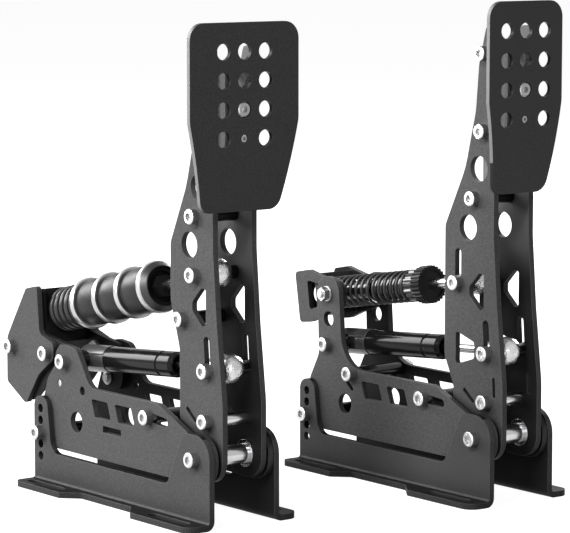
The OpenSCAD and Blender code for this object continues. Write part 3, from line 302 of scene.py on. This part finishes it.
# %% [markdown]
# ### Broken edges
# A laser-cut plate has its edges rubbed down before it is coated, and they catch the light as thin pale lines.
# A real bevel on every edge would add thousands of faces. The Bevel node bends only the normal near an edge,
# and the angle between the bent and the flat normal tells where the edge is.

# %% Broken edges
# The powder coat paints these lines in as a paler colour, a painted highlight; only the bent normal catches real
# light.
EDGE_FROM, EDGE_TO = 0.995, 0.72  # cosines of the angle between the two normals
edges, entry, leave = new_group(
    "broken_edge",
    [("Radius", "NodeSocketFloat", 0.0004)],
    [("Normal", "NodeSocketVector"), ("Edge", "NodeSocketFloat")],
)
bevel = add(edges, "Bevel")
bevel.samples = 6
flat = add(edges, "NewGeometry")
facing = add(edges, "VectorMath", "DOT_PRODUCT")
away = add(edges, "MapRange", From_Min=EDGE_FROM, From_Max=EDGE_TO)
edges.links.new(entry.outputs["Radius"], bevel.inputs["Radius"])
edges.links.new(bevel.outputs["Normal"], facing.inputs[0])
edges.links.new(flat.outputs["Normal"], facing.inputs[1])
edges.links.new(facing.outputs["Value"], away.inputs["Value"])
edges.links.new(bevel.outputs["Normal"], leave.inputs["Normal"])
edges.links.new(away.outputs["Result"], leave.inputs["Edge"])
print("bevel samples:", bevel.samples)

# %% [markdown]
# ### Knurl
# The round side of a socket head is knurled for the fingers. All screws here lie across the modules, along X, so
# small Voronoi cells drawn in the YZ plane run straight along every head. Side is 1 on faces that don't look
# along X, which on a screw is its round side, and on a pedal face its front.

# %% Knurl on screw heads
SIDE_FROM, SIDE_TO = 0.75, 0.45
knurl, entry, leave = new_group(
    "knurled_side",
    [("Pitch", "NodeSocketFloat", 1100.0)],
    [("Height", "NodeSocketFloat"), ("Side", "NodeSocketFloat")],
)
where = add(knurl, "TexCoord")
squeeze = add(knurl, "VectorMath", "MULTIPLY")
squeeze.inputs[1].default_value = (0.0, 1.0, 1.0)
cells = add(knurl, "TexVoronoi")
face = add(knurl, "NewGeometry")
parts = add(knurl, "SeparateXYZ")
side = add(knurl, "MapRange", From_Min=SIDE_FROM, From_Max=SIDE_TO)
knurl.links.new(where.outputs["Object"], squeeze.inputs[0])
knurl.links.new(squeeze.outputs[0], cells.inputs["Vector"])
knurl.links.new(entry.outputs["Pitch"], cells.inputs["Scale"])
knurl.links.new(cells.outputs["Distance"], leave.inputs["Height"])
knurl.links.new(face.outputs["Normal"], parts.inputs[0])
knurl.links.new(calc(knurl, "ABSOLUTE", parts.outputs["X"]), side.inputs["Value"])
knurl.links.new(side.outputs["Result"], leave.inputs["Side"])
print("knurl inputs:", [s.name for s in entry.outputs if s.name])

# %% [markdown]
# ### Sheltered places
# Between the plates and inside the sockets hardly any light arrives, and in the photograph those places are nearly
# black. The white ground would still mirror into them here. Ambient Occlusion tells how much of the sky a point
# sees: Near asks within a few millimetres, for sockets, and Wide within the width of a module.

# %% Sheltered places
# The finishes darken their colour by these masks, which is painted shade.
NEAR_REACH, WIDE_REACH = 0.003, 0.045
shelter, entry, leave = new_group(
    "sheltered",
    [("Low", "NodeSocketFloat", 0.3), ("High", "NodeSocketFloat", 0.8)],
    [("Near", "NodeSocketFloat"), ("Wide", "NodeSocketFloat")],
)
for label, reach in (("Near", NEAR_REACH), ("Wide", WIDE_REACH)):
    around = add(shelter, "AmbientOcclusion", Distance=reach)
    around.samples = 4
    opened = add(shelter, "MapRange")
    shelter.links.new(entry.outputs["Low"], opened.inputs["From Min"])
    shelter.links.new(entry.outputs["High"], opened.inputs["From Max"])
    shelter.links.new(around.outputs["AO"], opened.inputs["Value"])
    shelter.links.new(opened.outputs["Result"], leave.inputs[label])
print("shelter reaches in mm:", NEAR_REACH * 1000, WIDE_REACH * 1000)

# %% [markdown]
# ### Inner faces
# Each module is a pair of plates, and the faces that they turn to each other lie in shade; the finishes paint that
# shade in as a darker colour than the outer faces.
# A separate material for those faces would need picks by hand in the CAD mesh. Sums on the normal and on the
# place do it for both modules at once: Inner is 1 where a face looks towards the middle plane of its module,
# Near Middle is 1 within Reach of that plane, and Height is the height above the floor.

# %% Inner faces
LOOKS_INWARD = -0.5
inside, entry, leave = new_group(
    "inner_faces",
    [("Reach", "NodeSocketFloat", 0.026)],
    [("Inner", "NodeSocketFloat"), ("Near Middle", "NodeSocketFloat"), ("Height", "NodeSocketFloat")],
)
where, face = add(inside, "TexCoord"), add(inside, "NewGeometry")
place, normal = add(inside, "SeparateXYZ"), add(inside, "SeparateXYZ")
inside.links.new(where.outputs["Object"], place.inputs[0])
inside.links.new(face.outputs["Normal"], normal.inputs[0])
middle = calc(inside, "MULTIPLY", calc(inside, "SIGN", place.outputs["X"]), MODULE["throttle"].x)
offset = calc(inside, "SUBTRACT", place.outputs["X"], middle)
outward = calc(inside, "MULTIPLY", calc(inside, "SIGN", offset), normal.outputs["X"])
inside.links.new(calc(inside, "LESS_THAN", outward, LOOKS_INWARD), leave.inputs["Inner"])
near = calc(inside, "LESS_THAN", calc(inside, "ABSOLUTE", offset), entry.outputs["Reach"])
inside.links.new(near, leave.inputs["Near Middle"])
inside.links.new(place.outputs["Z"], leave.inputs["Height"])
print("middle planes in mm:", [round(place.x / MM, 1) for place in MODULE.values()])

# %% [markdown]
# ### Place along a rod
# A damper is one part with two finishes, one after the other along its slanted rod. S is the distance from the
# rod's start, so a finish can change at a given length without a cut in the mesh.

# %% Place along a rod
station, entry, leave = new_group(
    "rod_station",
    [("Start", "NodeSocketVector", None), ("Along", "NodeSocketVector", None)],
    [("S", "NodeSocketFloat")],
)
where = add(station, "TexCoord")
from_start = add(station, "VectorMath", "SUBTRACT")
shadow = add(station, "VectorMath", "DOT_PRODUCT")
station.links.new(where.outputs["Object"], from_start.inputs[0])
station.links.new(entry.outputs["Start"], from_start.inputs[1])
station.links.new(from_start.outputs[0], shadow.inputs[0])
station.links.new(entry.outputs["Along"], shadow.inputs[1])
station.links.new(shadow.outputs["Value"], leave.inputs["S"])
print("node groups:", [g.name for g in bpy.data.node_groups])

# %% [markdown]
# ## Finishes
# Each finish is one material. The shader stands in the material itself, and the groups only feed its colour, its
# roughness and its normal. A few helpers keep each finish down to the lines that say what it looks like.


# %% A new finish and a placed group
def new_finish(name, roughness, metallic=0.0, specular=0.5, coat=0.0, coat_roughness=0.1):
    material = bpy.data.materials.new(name)
    material.use_nodes = True
    shader = material.node_tree.nodes["Principled BSDF"]
    for label, value in (("Roughness", roughness), ("Metallic", metallic), ("Specular IOR Level", specular),
                         ("Coat Weight", coat), ("Coat Roughness", coat_roughness)):
        shader.inputs[label].default_value = value
    return material, material.node_tree, shader


def placed(tree, group, **values):
    """The group's outputs, in this material's tree and with this material's values."""
    made = tree.nodes.new("ShaderNodeGroup")
    made.node_tree = group
    for label, value in values.items():
        made.inputs[label.replace("_", " ")].default_value = value
    return made.outputs


# %% Tones, blends and spans
def grey(value):
    """Black paint and steel are a touch blue."""
    return (value, value, value * 1.01)


def blend(tree, factor, low, high):
    """low where the factor is 0 and high where it is 1; each is a colour or a socket."""
    mixer = tree.nodes.new("ShaderNodeMix")
    mixer.data_type = "RGBA"
    tree.links.new(factor, mixer.inputs["Factor"])
    for socket, value in (("A", low), ("B", high)):
        slot = [s for s in mixer.inputs if s.name == socket and s.type == "RGBA"][0]
        if isinstance(value, tuple):
            slot.default_value = (*value, 1)
        else:
            tree.links.new(value, slot)
    return [s for s in mixer.outputs if s.type == "RGBA"][0]


def span(tree, value, low, high):
    """Runs from low to high while the value runs from 0 to 1."""
    ranger = add(tree, "MapRange", To_Min=low, To_Max=high)
    tree.links.new(value, ranger.inputs["Value"])
    return ranger.outputs["Result"]


def step(tree, value, start, width):
    """0 before start and 1 after start + width, both in millimetres."""
    ranger = add(tree, "MapRange", From_Min=start * MM, From_Max=(start + width) * MM)
    tree.links.new(value, ranger.inputs["Value"])
    return ranger.outputs["Result"]


# %% Bump
def bump(tree, shader, height, depth, strength, normal=None):
    bumper = add(tree, "Bump", Distance=depth, Strength=strength)
    tree.links.new(height, bumper.inputs["Height"])
    if normal is not None:
        tree.links.new(normal, bumper.inputs["Normal"])
    tree.links.new(bumper.outputs[0], shader.inputs["Normal"])


# %% [markdown]
# ### Powder coat
# The plates are blasted and powder coated: a dull black with fine grain, and a paler colour on the broken edges as a
# painted highlight. A single dark grey would look like plastic, so the tone drifts in clouds with dark specks, and
# the roughness drifts along. Inner faces and sheltered places fall to a small share of the tone as painted shade.
# High up between the arms light comes back, so painted light raises that share there. The pedal faces have painted
# light on their side cut walls and painted shade in the grip holes, and the flange tops of the feet get painted
# shade, nearly black.

# %% Shares of the powder tone
CLOUD_LOW, CLOUD_HIGH = 0.88, 1.12
SPECK_SHARE = 0.6
# Painted shade: inner and sheltered faces keep only these shares of the tone.
INNER_PAINTED_SHADE, SHELTER_PAINTED_SHADE = 0.12, 0.15
# Painted shade: grip-hole walls keep this share of the tone and lose most of the painted edge highlight.
HOLE_PAINTED_SHADE, HOLE_EDGE_LOSS = 0.2, 0.8
# Painted light: from this height up, the inner faces between the arms get a larger share of the tone.
ARM_LIGHT_FROM, ARM_LIGHT_OVER = 150, 60  # height in mm where light comes back between the arms
ROUGHNESS_DRIFT = 0.06
POWDER_DEPTH, EDGE_RADIUS = 0.00006, 0.0005
LOOKS_UP = 0.9


# %% Painted shade on inner and sheltered places, painted light high between the arms
def painted_shade_and_arm_light(tree, body, tone, painted_shelter_shade, painted_arm_light):
    # Painted shade on faces turned inward and on sheltered places, and painted light high up between the arms.
    masks = placed(tree, inside)
    inner, sheltered = grey(tone * INNER_PAINTED_SHADE), grey(tone * painted_shelter_shade)
    if painted_arm_light is not None:
        high_up = step(tree, masks["Height"], ARM_LIGHT_FROM, ARM_LIGHT_OVER)
        inner = blend(tree, high_up, inner, grey(tone * painted_arm_light))
        sheltered = blend(tree, high_up, sheltered, grey(tone * painted_arm_light))
    body = blend(tree, masks["Inner"], body, inner)
    return blend(tree, placed(tree, shelter, Low=0.3, High=0.75)["Wide"], sheltered, body)


# %% Painted light on the side walls and painted shade in the grip holes of a pedal face
GRIP_REACH = 0.026  # half the width that the grip holes take up


def painted_walls_and_holes(tree, body, edge, tone, painted_wall_light):
    # Painted light on the side cut walls, and painted shade on the grip-hole walls, where the edge highlight is
    # mostly taken off.
    front = placed(tree, knurl)["Side"]
    grip_area = placed(tree, inside, Reach=GRIP_REACH)["Near Middle"]
    body = blend(tree, calc(tree, "MAXIMUM", front, grip_area), grey(painted_wall_light), body)
    shaded_hole_wall = calc(tree, "MULTIPLY", grip_area, calc(tree, "SUBTRACT", 1.0, front))
    body = blend(tree, shaded_hole_wall, body, grey(tone * HOLE_PAINTED_SHADE))
    kept = calc(tree, "SUBTRACT", 1.0, calc(tree, "MULTIPLY", grip_area, HOLE_EDGE_LOSS))
    return body, calc(tree, "MULTIPLY", edge, kept)


# %% Powder coat
def powder_coat(name, tone, edge_highlight, specular, roughness=0.46, painted_wall_light=None, painted_top_shade=None,
                painted_shelter_shade=SHELTER_PAINTED_SHADE, painted_arm_light=None):
    material, tree, shader = new_finish(name, roughness, specular=specular)
    g = placed(tree, grain, Scale=1400.0, Cloud_Scale=30.0)
    e = placed(tree, edges, Radius=EDGE_RADIUS)
    body = blend(tree, g["Cloud"], grey(tone * CLOUD_LOW), grey(tone * CLOUD_HIGH))
    body = blend(tree, g["Open"], grey(tone * SPECK_SHARE), body)
    body = painted_shade_and_arm_light(tree, body, tone, painted_shelter_shade, painted_arm_light)
    edge = e["Edge"]
    if painted_wall_light is not None:
        body, edge = painted_walls_and_holes(tree, body, edge, tone, painted_wall_light)
    # Painted shade: faces that look up take the nearly black top colour.
    if painted_top_shade is not None:
        face, normal = add(tree, "NewGeometry"), add(tree, "SeparateXYZ")
        tree.links.new(face.outputs["Normal"], normal.inputs[0])
        body = blend(tree, calc(tree, "GREATER_THAN", normal.outputs["Z"], LOOKS_UP), body, grey(painted_top_shade))
    # Painted highlight: the broken edges take the paler edge colour.
    tree.links.new(blend(tree, edge, body, grey(edge_highlight)), shader.inputs["Base Color"])
    drift = span(tree, g["Cloud"], roughness - ROUGHNESS_DRIFT, roughness + ROUGHNESS_DRIFT)
    tree.links.new(drift, shader.inputs["Roughness"])
    bump(tree, shader, g["Height"], POWDER_DEPTH, 0.6, e["Normal"])
    return material


# %% The five coats
plate_coat = powder_coat("plate_coat", 0.064, 0.13, specular=0.04, painted_arm_light=1.4)
# The feet are a touch darker than the plates, painted shade for the light falling off low down.
foot_coat = powder_coat("foot_coat", 0.059, 0.11, specular=0.03, painted_top_shade=0.007)
face_coat = powder_coat("face_coat", 0.038, 0.16, specular=0.12, painted_wall_light=0.15)
mount_coat = powder_coat("mount_coat", 0.018, 0.04, specular=0.05, roughness=0.5)
# The face mount is painted much lighter, a painted highlight for the glints seen through the grip holes, and keeps
# most of it in sheltered places.
face_mount_glint_coat = powder_coat("face_mount_glint_coat", 0.15, 0.2, specular=0.05, painted_shelter_shade=0.8)
print("powder coats:", [m.name for m in bpy.data.materials if m.name.endswith("_coat")])

# %% [markdown]
# ### Turned, cast and polished steel
# Shafts and rods are turned, washers polished, and the rod ends cast with a coarse skin. All are bare metal, so
# one function makes them: a metal shader whose tone and roughness drift a little, with a fine bump. What sets
# them apart is the size and depth of the grain, and how far the dull spots fall below the tone.

# %% Bare metal
METAL_CLOUD_SCALE, METAL_SCALE, METAL_DEPTH = 120.0, 900.0, 0.00002


def steel(name, tone, roughness, scale=METAL_SCALE, depth=METAL_DEPTH, dull_and_painted_shade=0.85):
    material, tree, shader = new_finish(name, roughness, metallic=1.0)
    g = placed(tree, grain, Scale=scale, Cloud_Scale=METAL_CLOUD_SCALE)
    e = placed(tree, edges, Radius=0.0002)
    tone_drift = blend(tree, g["Cloud"], grey(tone * dull_and_painted_shade), grey(tone * 1.1))
    tree.links.new(tone_drift, shader.inputs["Base Color"])
    tree.links.new(span(tree, g["Cloud"], roughness * 0.8, roughness * 1.25), shader.inputs["Roughness"])
    bump(tree, shader, g["Height"], depth, 0.5, e["Normal"])
    return material


turned_steel = steel("turned_steel", 0.5, 0.2)
washer_steel = steel("washer_steel", 0.42, 0.32)
cup_metal = steel("cup_metal", 0.05, 0.42)
cast_silver = steel("cast_silver", 0.7, 0.26, scale=420.0, depth=0.0011, dull_and_painted_shade=0.3)
dull_aluminium = steel("dull_aluminium", 0.45, 0.4)
print("bare metals made")

# %% [markdown]
# ### Arm spacers
# The spacer tubes between the arms are one CAD part, but the low one is bright steel and the upper ones are black.
# The height above the floor picks the finish, which saves cutting the part in two.

# %% Arm spacers
BLACK_ABOVE = 100  # mm above the floor


def spacer_finish(name):
    material, tree, shader = new_finish(name, 0.3, metallic=1.0)
    g = placed(tree, grain, Scale=METAL_SCALE, Cloud_Scale=METAL_CLOUD_SCALE)
    high = step(tree, placed(tree, inside)["Height"], BLACK_ABOVE, 0.2)
    bright = blend(tree, g["Cloud"], grey(0.42), grey(0.56))
    tree.links.new(blend(tree, high, bright, grey(0.012)), shader.inputs["Base Color"])
    tree.links.new(span(tree, high, 0.2, 0.5), shader.inputs["Roughness"])
    bump(tree, shader, g["Height"], METAL_DEPTH, 0.5)
    return material


arm_spacer_steel = spacer_finish("arm_spacer_steel")
print("spacers turn black above", BLACK_ABOVE, "mm")

# %% [markdown]
# ### Screws
# The socket screws are zinc plated, with bright flat ends. Their knurled sides are painted grey, a painted reflection
# of the dark surroundings they mirror, and the ends that stick out between the plates are painted grey as shade. Real
# knurl would need hundreds of small faces on each head, so it is a bump, and the masks of the groups set the two
# tones.

# %% Screws
PAINTED_SCREW_SHADE = 0.26


def screw_finish(name):
    material, tree, shader = new_finish(name, 0.3, metallic=1.0)
    k = placed(tree, knurl, Pitch=1500.0)
    g = placed(tree, grain, Scale=700.0, Cloud_Scale=160.0)
    open_side = calc(tree, "MULTIPLY", k["Side"], placed(tree, shelter, Low=0.45, High=0.65)["Near"])
    bright = blend(tree, g["Cloud"], grey(0.36), grey(0.84))
    # Painted reflection and shade: open knurled sides and the ends between the plates turn grey.
    dull_and_painted_shade = calc(tree, "MAXIMUM", open_side, placed(tree, inside)["Inner"])
    tree.links.new(blend(tree, dull_and_painted_shade, bright, grey(PAINTED_SCREW_SHADE)), shader.inputs["Base Color"])
    tree.links.new(span(tree, k["Side"], 0.28, 0.42), shader.inputs["Roughness"])
    bump(tree, shader, k["Height"], 0.0004, 0.6)
    return material


zinc_screws = screw_finish("zinc_screws")
print("screws made")

# %% [markdown]
# ### Rubber, lacquer and spring wire
# These are all smooth and black, and differ only in how sharply they mirror. Nearly black colours with a low
# specular level keep the white ground from greying them, and the softboxes still draw their highlights.


# %% Smooth blacks
def lacquer(name, tone, roughness, specular, coat=0.0):
    material, tree, shader = new_finish(name, roughness, specular=specular, coat=coat, coat_roughness=0.08)
    g = placed(tree, grain, Scale=500.0, Cloud_Scale=60.0)
    tree.links.new(blend(tree, g["Cloud"], grey(tone * 0.8), grey(tone * 1.3)), shader.inputs["Base Color"])
    tree.links.new(span(tree, g["Cloud"], roughness * 0.8, roughness * 1.3), shader.inputs["Roughness"])
    bump(tree, shader, g["Height"], METAL_DEPTH, 0.5)
    return material


elastomer_black = lacquer("elastomer_black", 0.008, 0.38, specular=0.17)
spring_black = lacquer("spring_black", 0.02, 0.30, specular=0.35)
knob_black = lacquer("knob_black", 0.010, 0.40, specular=0.08)
gloss_black = lacquer("gloss_black", 0.010, 0.22, specular=0.35, coat=0.1)
# Painted shade: the cup's recess and the nut in it are nearly black.
recess_painted_shade = lacquer("recess_painted_shade", 0.006, 0.5, specular=0.05)
print("smooth blacks made")

# %% [markdown]
# ### Dampers
# A damper starts as a satin metal block round its pin and goes on as a gloss black tube. Both are one CAD part on
# a slanted rod, so the place along the rod changes colour, roughness and metal at the end of the block.

# %% Dampers
BLOCK_END = 22.0  # mm from the pin


def damper_finish(name, rod):
    material, tree, shader = new_finish(name, 0.2, specular=0.1, coat_roughness=0.06)
    g = placed(tree, grain, Scale=500.0, Cloud_Scale=60.0)
    e = placed(tree, edges, Radius=0.0004)
    gloss = step(tree, placed(tree, station, Start=rod.start, Along=rod.along)["S"], BLOCK_END, 0.4)
    block = blend(tree, g["Cloud"], grey(0.08), grey(0.13))
    tree.links.new(blend(tree, gloss, block, grey(0.006)), shader.inputs["Base Color"])
    tree.links.new(span(tree, gloss, 0.28, 0.16), shader.inputs["Roughness"])
    tree.links.new(span(tree, gloss, 0.6, 0.0), shader.inputs["Metallic"])
    bump(tree, shader, g["Height"], METAL_DEPTH, 0.4, e["Normal"])
    return material


brake_damper_gloss = damper_finish("brake_damper_gloss", brake_damper)
throttle_damper_gloss = damper_finish("throttle_damper_gloss", throttle_damper)
print("materials:", len(bpy.data.materials))

# %% [markdown]
# ## Finishes on the CAD parts
# The name of a part says what it is made of, so a list of name pieces dresses them all. It is read from the top,
# and the first piece that a name holds decides. The last line is for turned parts, and fits every name.

# %% Dress the CAD parts
BY_PART = [
    ("face_plate", face_coat),
    ("face_mount", face_mount_glint_coat),
    ("housing_carrier", mount_coat),
    ("spring_seat", mount_coat),
    ("spring_bracket", plate_coat),
    ("foot_bracket", foot_coat),
    ("_plate", plate_coat),
    ("bolts", zinc_screws),
    ("screws", zinc_screws),
    ("washer", washer_steel),
    ("cup", cup_metal),
    ("collar", gloss_black),
    ("guide", gloss_black),
    ("load_cell", dull_aluminium),
    ("knob", knob_black),
    ("frame_spacers", gloss_black),
    ("arm_spacers", arm_spacer_steel),
    ("stack_nut", recess_painted_shade),
    ("rod_end", cast_silver),
    ("brake_damper_cylinder", brake_damper_gloss),
    ("throttle_damper_cylinder", throttle_damper_gloss),
    ("elastomer", elastomer_black),
    ("coil", spring_black),
    ("", turned_steel),
]
for name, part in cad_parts.items():
    finish = next(material for piece, material in BY_PART if piece in name)
    part.data.materials.clear()
    part.data.materials.append(finish)
print("dressed", len(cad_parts), "CAD parts")

# %% [markdown]
# ## Round pieces
# A lathe makes rubber blocks and washers from a half outline, and the mesh is made the same way: the outline is
# turned about the rod. Blender's Screw modifier does this too, but about a straight axis of its own, so plain
# points on the rod's frame are simpler here. Only edges sharper than a set angle stay sharp.


# %% A mesh from points and faces
def smooth_mesh(name, points, faces, materials, slots=None, sharp=40):
    mesh = bpy.data.meshes.new(name)
    mesh.from_pydata([tuple(p) for p in points], [], faces)
    for material in materials:
        mesh.materials.append(material)
    if slots is not None:
        mesh.polygons.foreach_set("material_index", slots)
    mesh.validate()
    mesh.polygons.foreach_set("use_smooth", [True] * len(mesh.polygons))
    mesh.set_sharp_from_angle(angle=math.radians(sharp))
    piece = bpy.data.objects.new(name, mesh)
    bpy.context.scene.collection.objects.link(piece)
    print(name, "has", len(mesh.polygons), "faces")
    return piece


# %% The lathe
def turned(name, rod, outline, materials, segments=72):
    """outline is a closed loop of (radius, s, slot); the slot is the material of the stretch that follows."""
    points, faces, slots, n = [], [], [], len(outline)
    for i in range(segments):
        a = 2 * math.pi * i / segments
        points += [rod.point(s, r, a) for r, s, slot in outline]
    for i in range(segments):
        j = (i + 1) % segments
        for k in range(n):
            m = (k + 1) % n
            faces.append((i * n + k, i * n + m, j * n + m, j * n + k))
            slots.append(outline[k][2])
    return smooth_mesh(name, points, faces, materials, slots)


def rounded_corner(r, s, radius, out_r, out_s, slot=0, steps=5):
    """Points of a quarter round in the corner (r, s), from the side that out_r leads to, to the one of out_s."""
    made = []
    for i in range(steps + 1):
        a = math.pi / 2 * i / steps
        made.append((r - out_r * radius * (1 - math.cos(a)), s - out_s * radius * (1 - math.sin(a)), slot))
    return made


# %% [markdown]
# ## The brake stack
# Three glossy rubber blocks sit between polished washers. They bulge a little under preload, and their rims are
# rounded. Each block rides with the washer in front of it and shortens along the rod as the pedal goes down.
# The stations are counted back from the seat, piece by piece, as the stack is put together on the bench.

# %% Stations along the brake rod
COIL_LEN, WASHER_T, BLOCK_LEN, CUP_LEN = 33.5, 4.0, 23.4, 8.5
GAP = 0.1  # room at each end of a soft piece

seat_s = brake_rod.length
coil_s = seat_s - COIL_LEN
rear_washer_s = coil_s - WASHER_T
middle_washer_s = rear_washer_s - BLOCK_LEN - WASHER_T
front_washer_s = middle_washer_s - BLOCK_LEN - WASHER_T
cup_s = front_washer_s - BLOCK_LEN - CUP_LEN
print("washers at", round(front_washer_s, 1), round(middle_washer_s, 1), round(rear_washer_s, 1))

# %% Outline of a rubber block
BLOCK_R, BLOCK_BORE, BLOCK_RIM = 15.2, 4.0, 1.2
BLOCK_SWELL, SWELL_POWER, SWELL_POINTS = 0.855, 0.8, 12


def block_outline(start, end):
    outline = rounded_corner(BLOCK_R, start, BLOCK_RIM, 1, -1)[::-1]
    for i in range(1, SWELL_POINTS):
        u = i / SWELL_POINTS
        swell = BLOCK_SWELL * math.sin(math.pi * u) ** SWELL_POWER
        outline.append((BLOCK_R + swell, start + BLOCK_RIM + (end - start - 2 * BLOCK_RIM) * u, 0))
    outline += rounded_corner(BLOCK_R, end, BLOCK_RIM, 1, 1)
    return outline + [(BLOCK_BORE, end, 0), (BLOCK_BORE, start, 0)]


# %% Rubber blocks
def rubber_block(name, node, body, washer_end):
    start, end = washer_end + GAP, washer_end + BLOCK_LEN - GAP
    block = turned(name, brake_rod, block_outline(start, end), [elastomer_black])
    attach(block, body)
    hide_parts(node)
    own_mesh(block)


rubber_block("front_rubber_block", "brake_front_elastomer", "brake_rod", cup_s + CUP_LEN)
rubber_block("middle_rubber_block", "brake_middle_elastomer", "brake_front_stack",
             front_washer_s + WASHER_T)
rubber_block("rear_rubber_block", "brake_rear_elastomer", "brake_middle_stack",
             middle_washer_s + WASHER_T)

# %% [markdown]
# ### Cup
# The cup closes the stack in front: a bright rim like the washers, then a broad dark bevel, and a stepped recess for
# the nut, painted black as shade. It is rigid, but three finishes meet on it, so it is turned again with a slot for
# each.

# %% Cup
RIM, BEVEL, RECESS = 0, 1, 2
WASHER_R, ROD_HOLE_R = 17.75, 5.05
cup_end = cup_s + CUP_LEN
rim_front = cup_end - WASHER_T
cup_outline = [(ROD_HOLE_R, cup_end, RIM)]
cup_outline += rounded_corner(WASHER_R, cup_end, 0.9, 1, 1, RIM)[::-1]
cup_outline += rounded_corner(WASHER_R, rim_front, 0.6, 1, -1, RIM)
cup_outline += [(WASHER_R - 0.9, rim_front - 0.2, BEVEL), (WASHER_R - 0.7, cup_s + 3.6, BEVEL)]
cup_outline += [(WASHER_R - 3.5, cup_s + 0.3, BEVEL), (WASHER_R - 3.9, cup_s, BEVEL), (WASHER_R - 4.2, cup_s, BEVEL)]
cup_outline += [(WASHER_R - 4.4, cup_s + 0.2, RECESS), (WASHER_R - 4.4, cup_s + 2.0, RECESS)]
cup_outline += [(WASHER_R - 7, cup_s + 2.0, RECESS), (WASHER_R - 7, rim_front, RECESS)]
cup_outline += [(ROD_HOLE_R, rim_front, RECESS)]
cup = turned("turned_cup", brake_rod, cup_outline, [washer_steel, cup_metal, recess_painted_shade])
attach(cup, "brake_rod")
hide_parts("brake_stack_cup")

# %% [markdown]
# ## Coil springs
# A compression spring is wire wound on a helix, with its end turns laid close so that it stands flat. A curve with
# a bevel could draw it, but the seam and the ends are cleaner when a ring of points is carried along the helix.
# The height of the wire is a sum in three stretches: a close turn, even turns, and a close turn again.

# %% Height of the wire
CLOSE_TURNS, CLOSE_GAP = 0.75, 0.7


def coil_height(t, turns, height, wire):
    near = (wire + CLOSE_GAP) * CLOSE_TURNS
    pitch = (height - wire - 2 * near) / (turns - 2 * CLOSE_TURNS)
    if t < CLOSE_TURNS:
        return t * near / CLOSE_TURNS
    if t > turns - CLOSE_TURNS:
        return height - wire - (turns - t) * near / CLOSE_TURNS
    return near + (t - CLOSE_TURNS) * pitch


# %% The wire
def coil(name, rod, start, turns, outer, height, wire, sides=12, per_turn=40):
    radius, steps = (outer - wire) / 2, round(turns * per_turn)
    slope = math.atan2((height - wire) / turns, 2 * math.pi * radius)
    points, faces = [], []
    for i in range(steps + 1):
        t = i * turns / steps
        a = -2 * math.pi * t
        s = start + wire / 2 + coil_height(t, turns, height, wire)
        for k in range(sides):
            q = 2 * math.pi * k / sides
            out, up = wire / 2 * math.cos(q), wire / 2 * math.sin(q)
            lean = up * math.sin(slope) / radius
            points.append(rod.point(s + up * math.cos(slope), radius + out, a + lean))
    for i in range(steps):
        for k in range(sides):
            m = (k + 1) % sides
            faces.append((i * sides + k, i * sides + m, (i + 1) * sides + m, (i + 1) * sides + k))
    faces.append(tuple(range(sides)))
    faces.append(tuple(steps * sides + k for k in reversed(range(sides))))
    return smooth_mesh(name, points, faces, [spring_black], sharp=60)


# %% [markdown]
# ### Brake spring
# A short stiff spring behind the stack. It rides with the rear washer, and it takes up what is left of the travel
# once the three blocks have given way.

# %% Brake spring
brake_coil = coil("brake_spring_wire", brake_rod, coil_s + GAP, 5, outer=31.0, height=COIL_LEN - 2 * GAP, wire=3.8)
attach(brake_coil, "brake_rear_stack")
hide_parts("brake_coil_spring")
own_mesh(brake_coil)

# %% [markdown]
# ### Throttle spring
# A long fine spring from the ribbed collar to the web of the tilting bracket. It rides with the rod, and its far
# end stays at the web because it shortens by just the rod's travel.

# %% Throttle spring
COLLAR_S, COLLAR_LEN, WEB_BEHIND_POST = 57.0, 10.0, 19
fine_start = COLLAR_S + COLLAR_LEN
fine_len = throttle_rod.length + WEB_BEHIND_POST - COLLAR_S - COLLAR_LEN
throttle_coil = coil("throttle_spring_wire", throttle_rod, fine_start + GAP, 14, outer=23.0,
                     height=fine_len - 2 * GAP, wire=2.2, sides=10, per_turn=32)
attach(throttle_coil, "throttle_rod")
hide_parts("throttle_coil_spring")
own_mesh(throttle_coil)
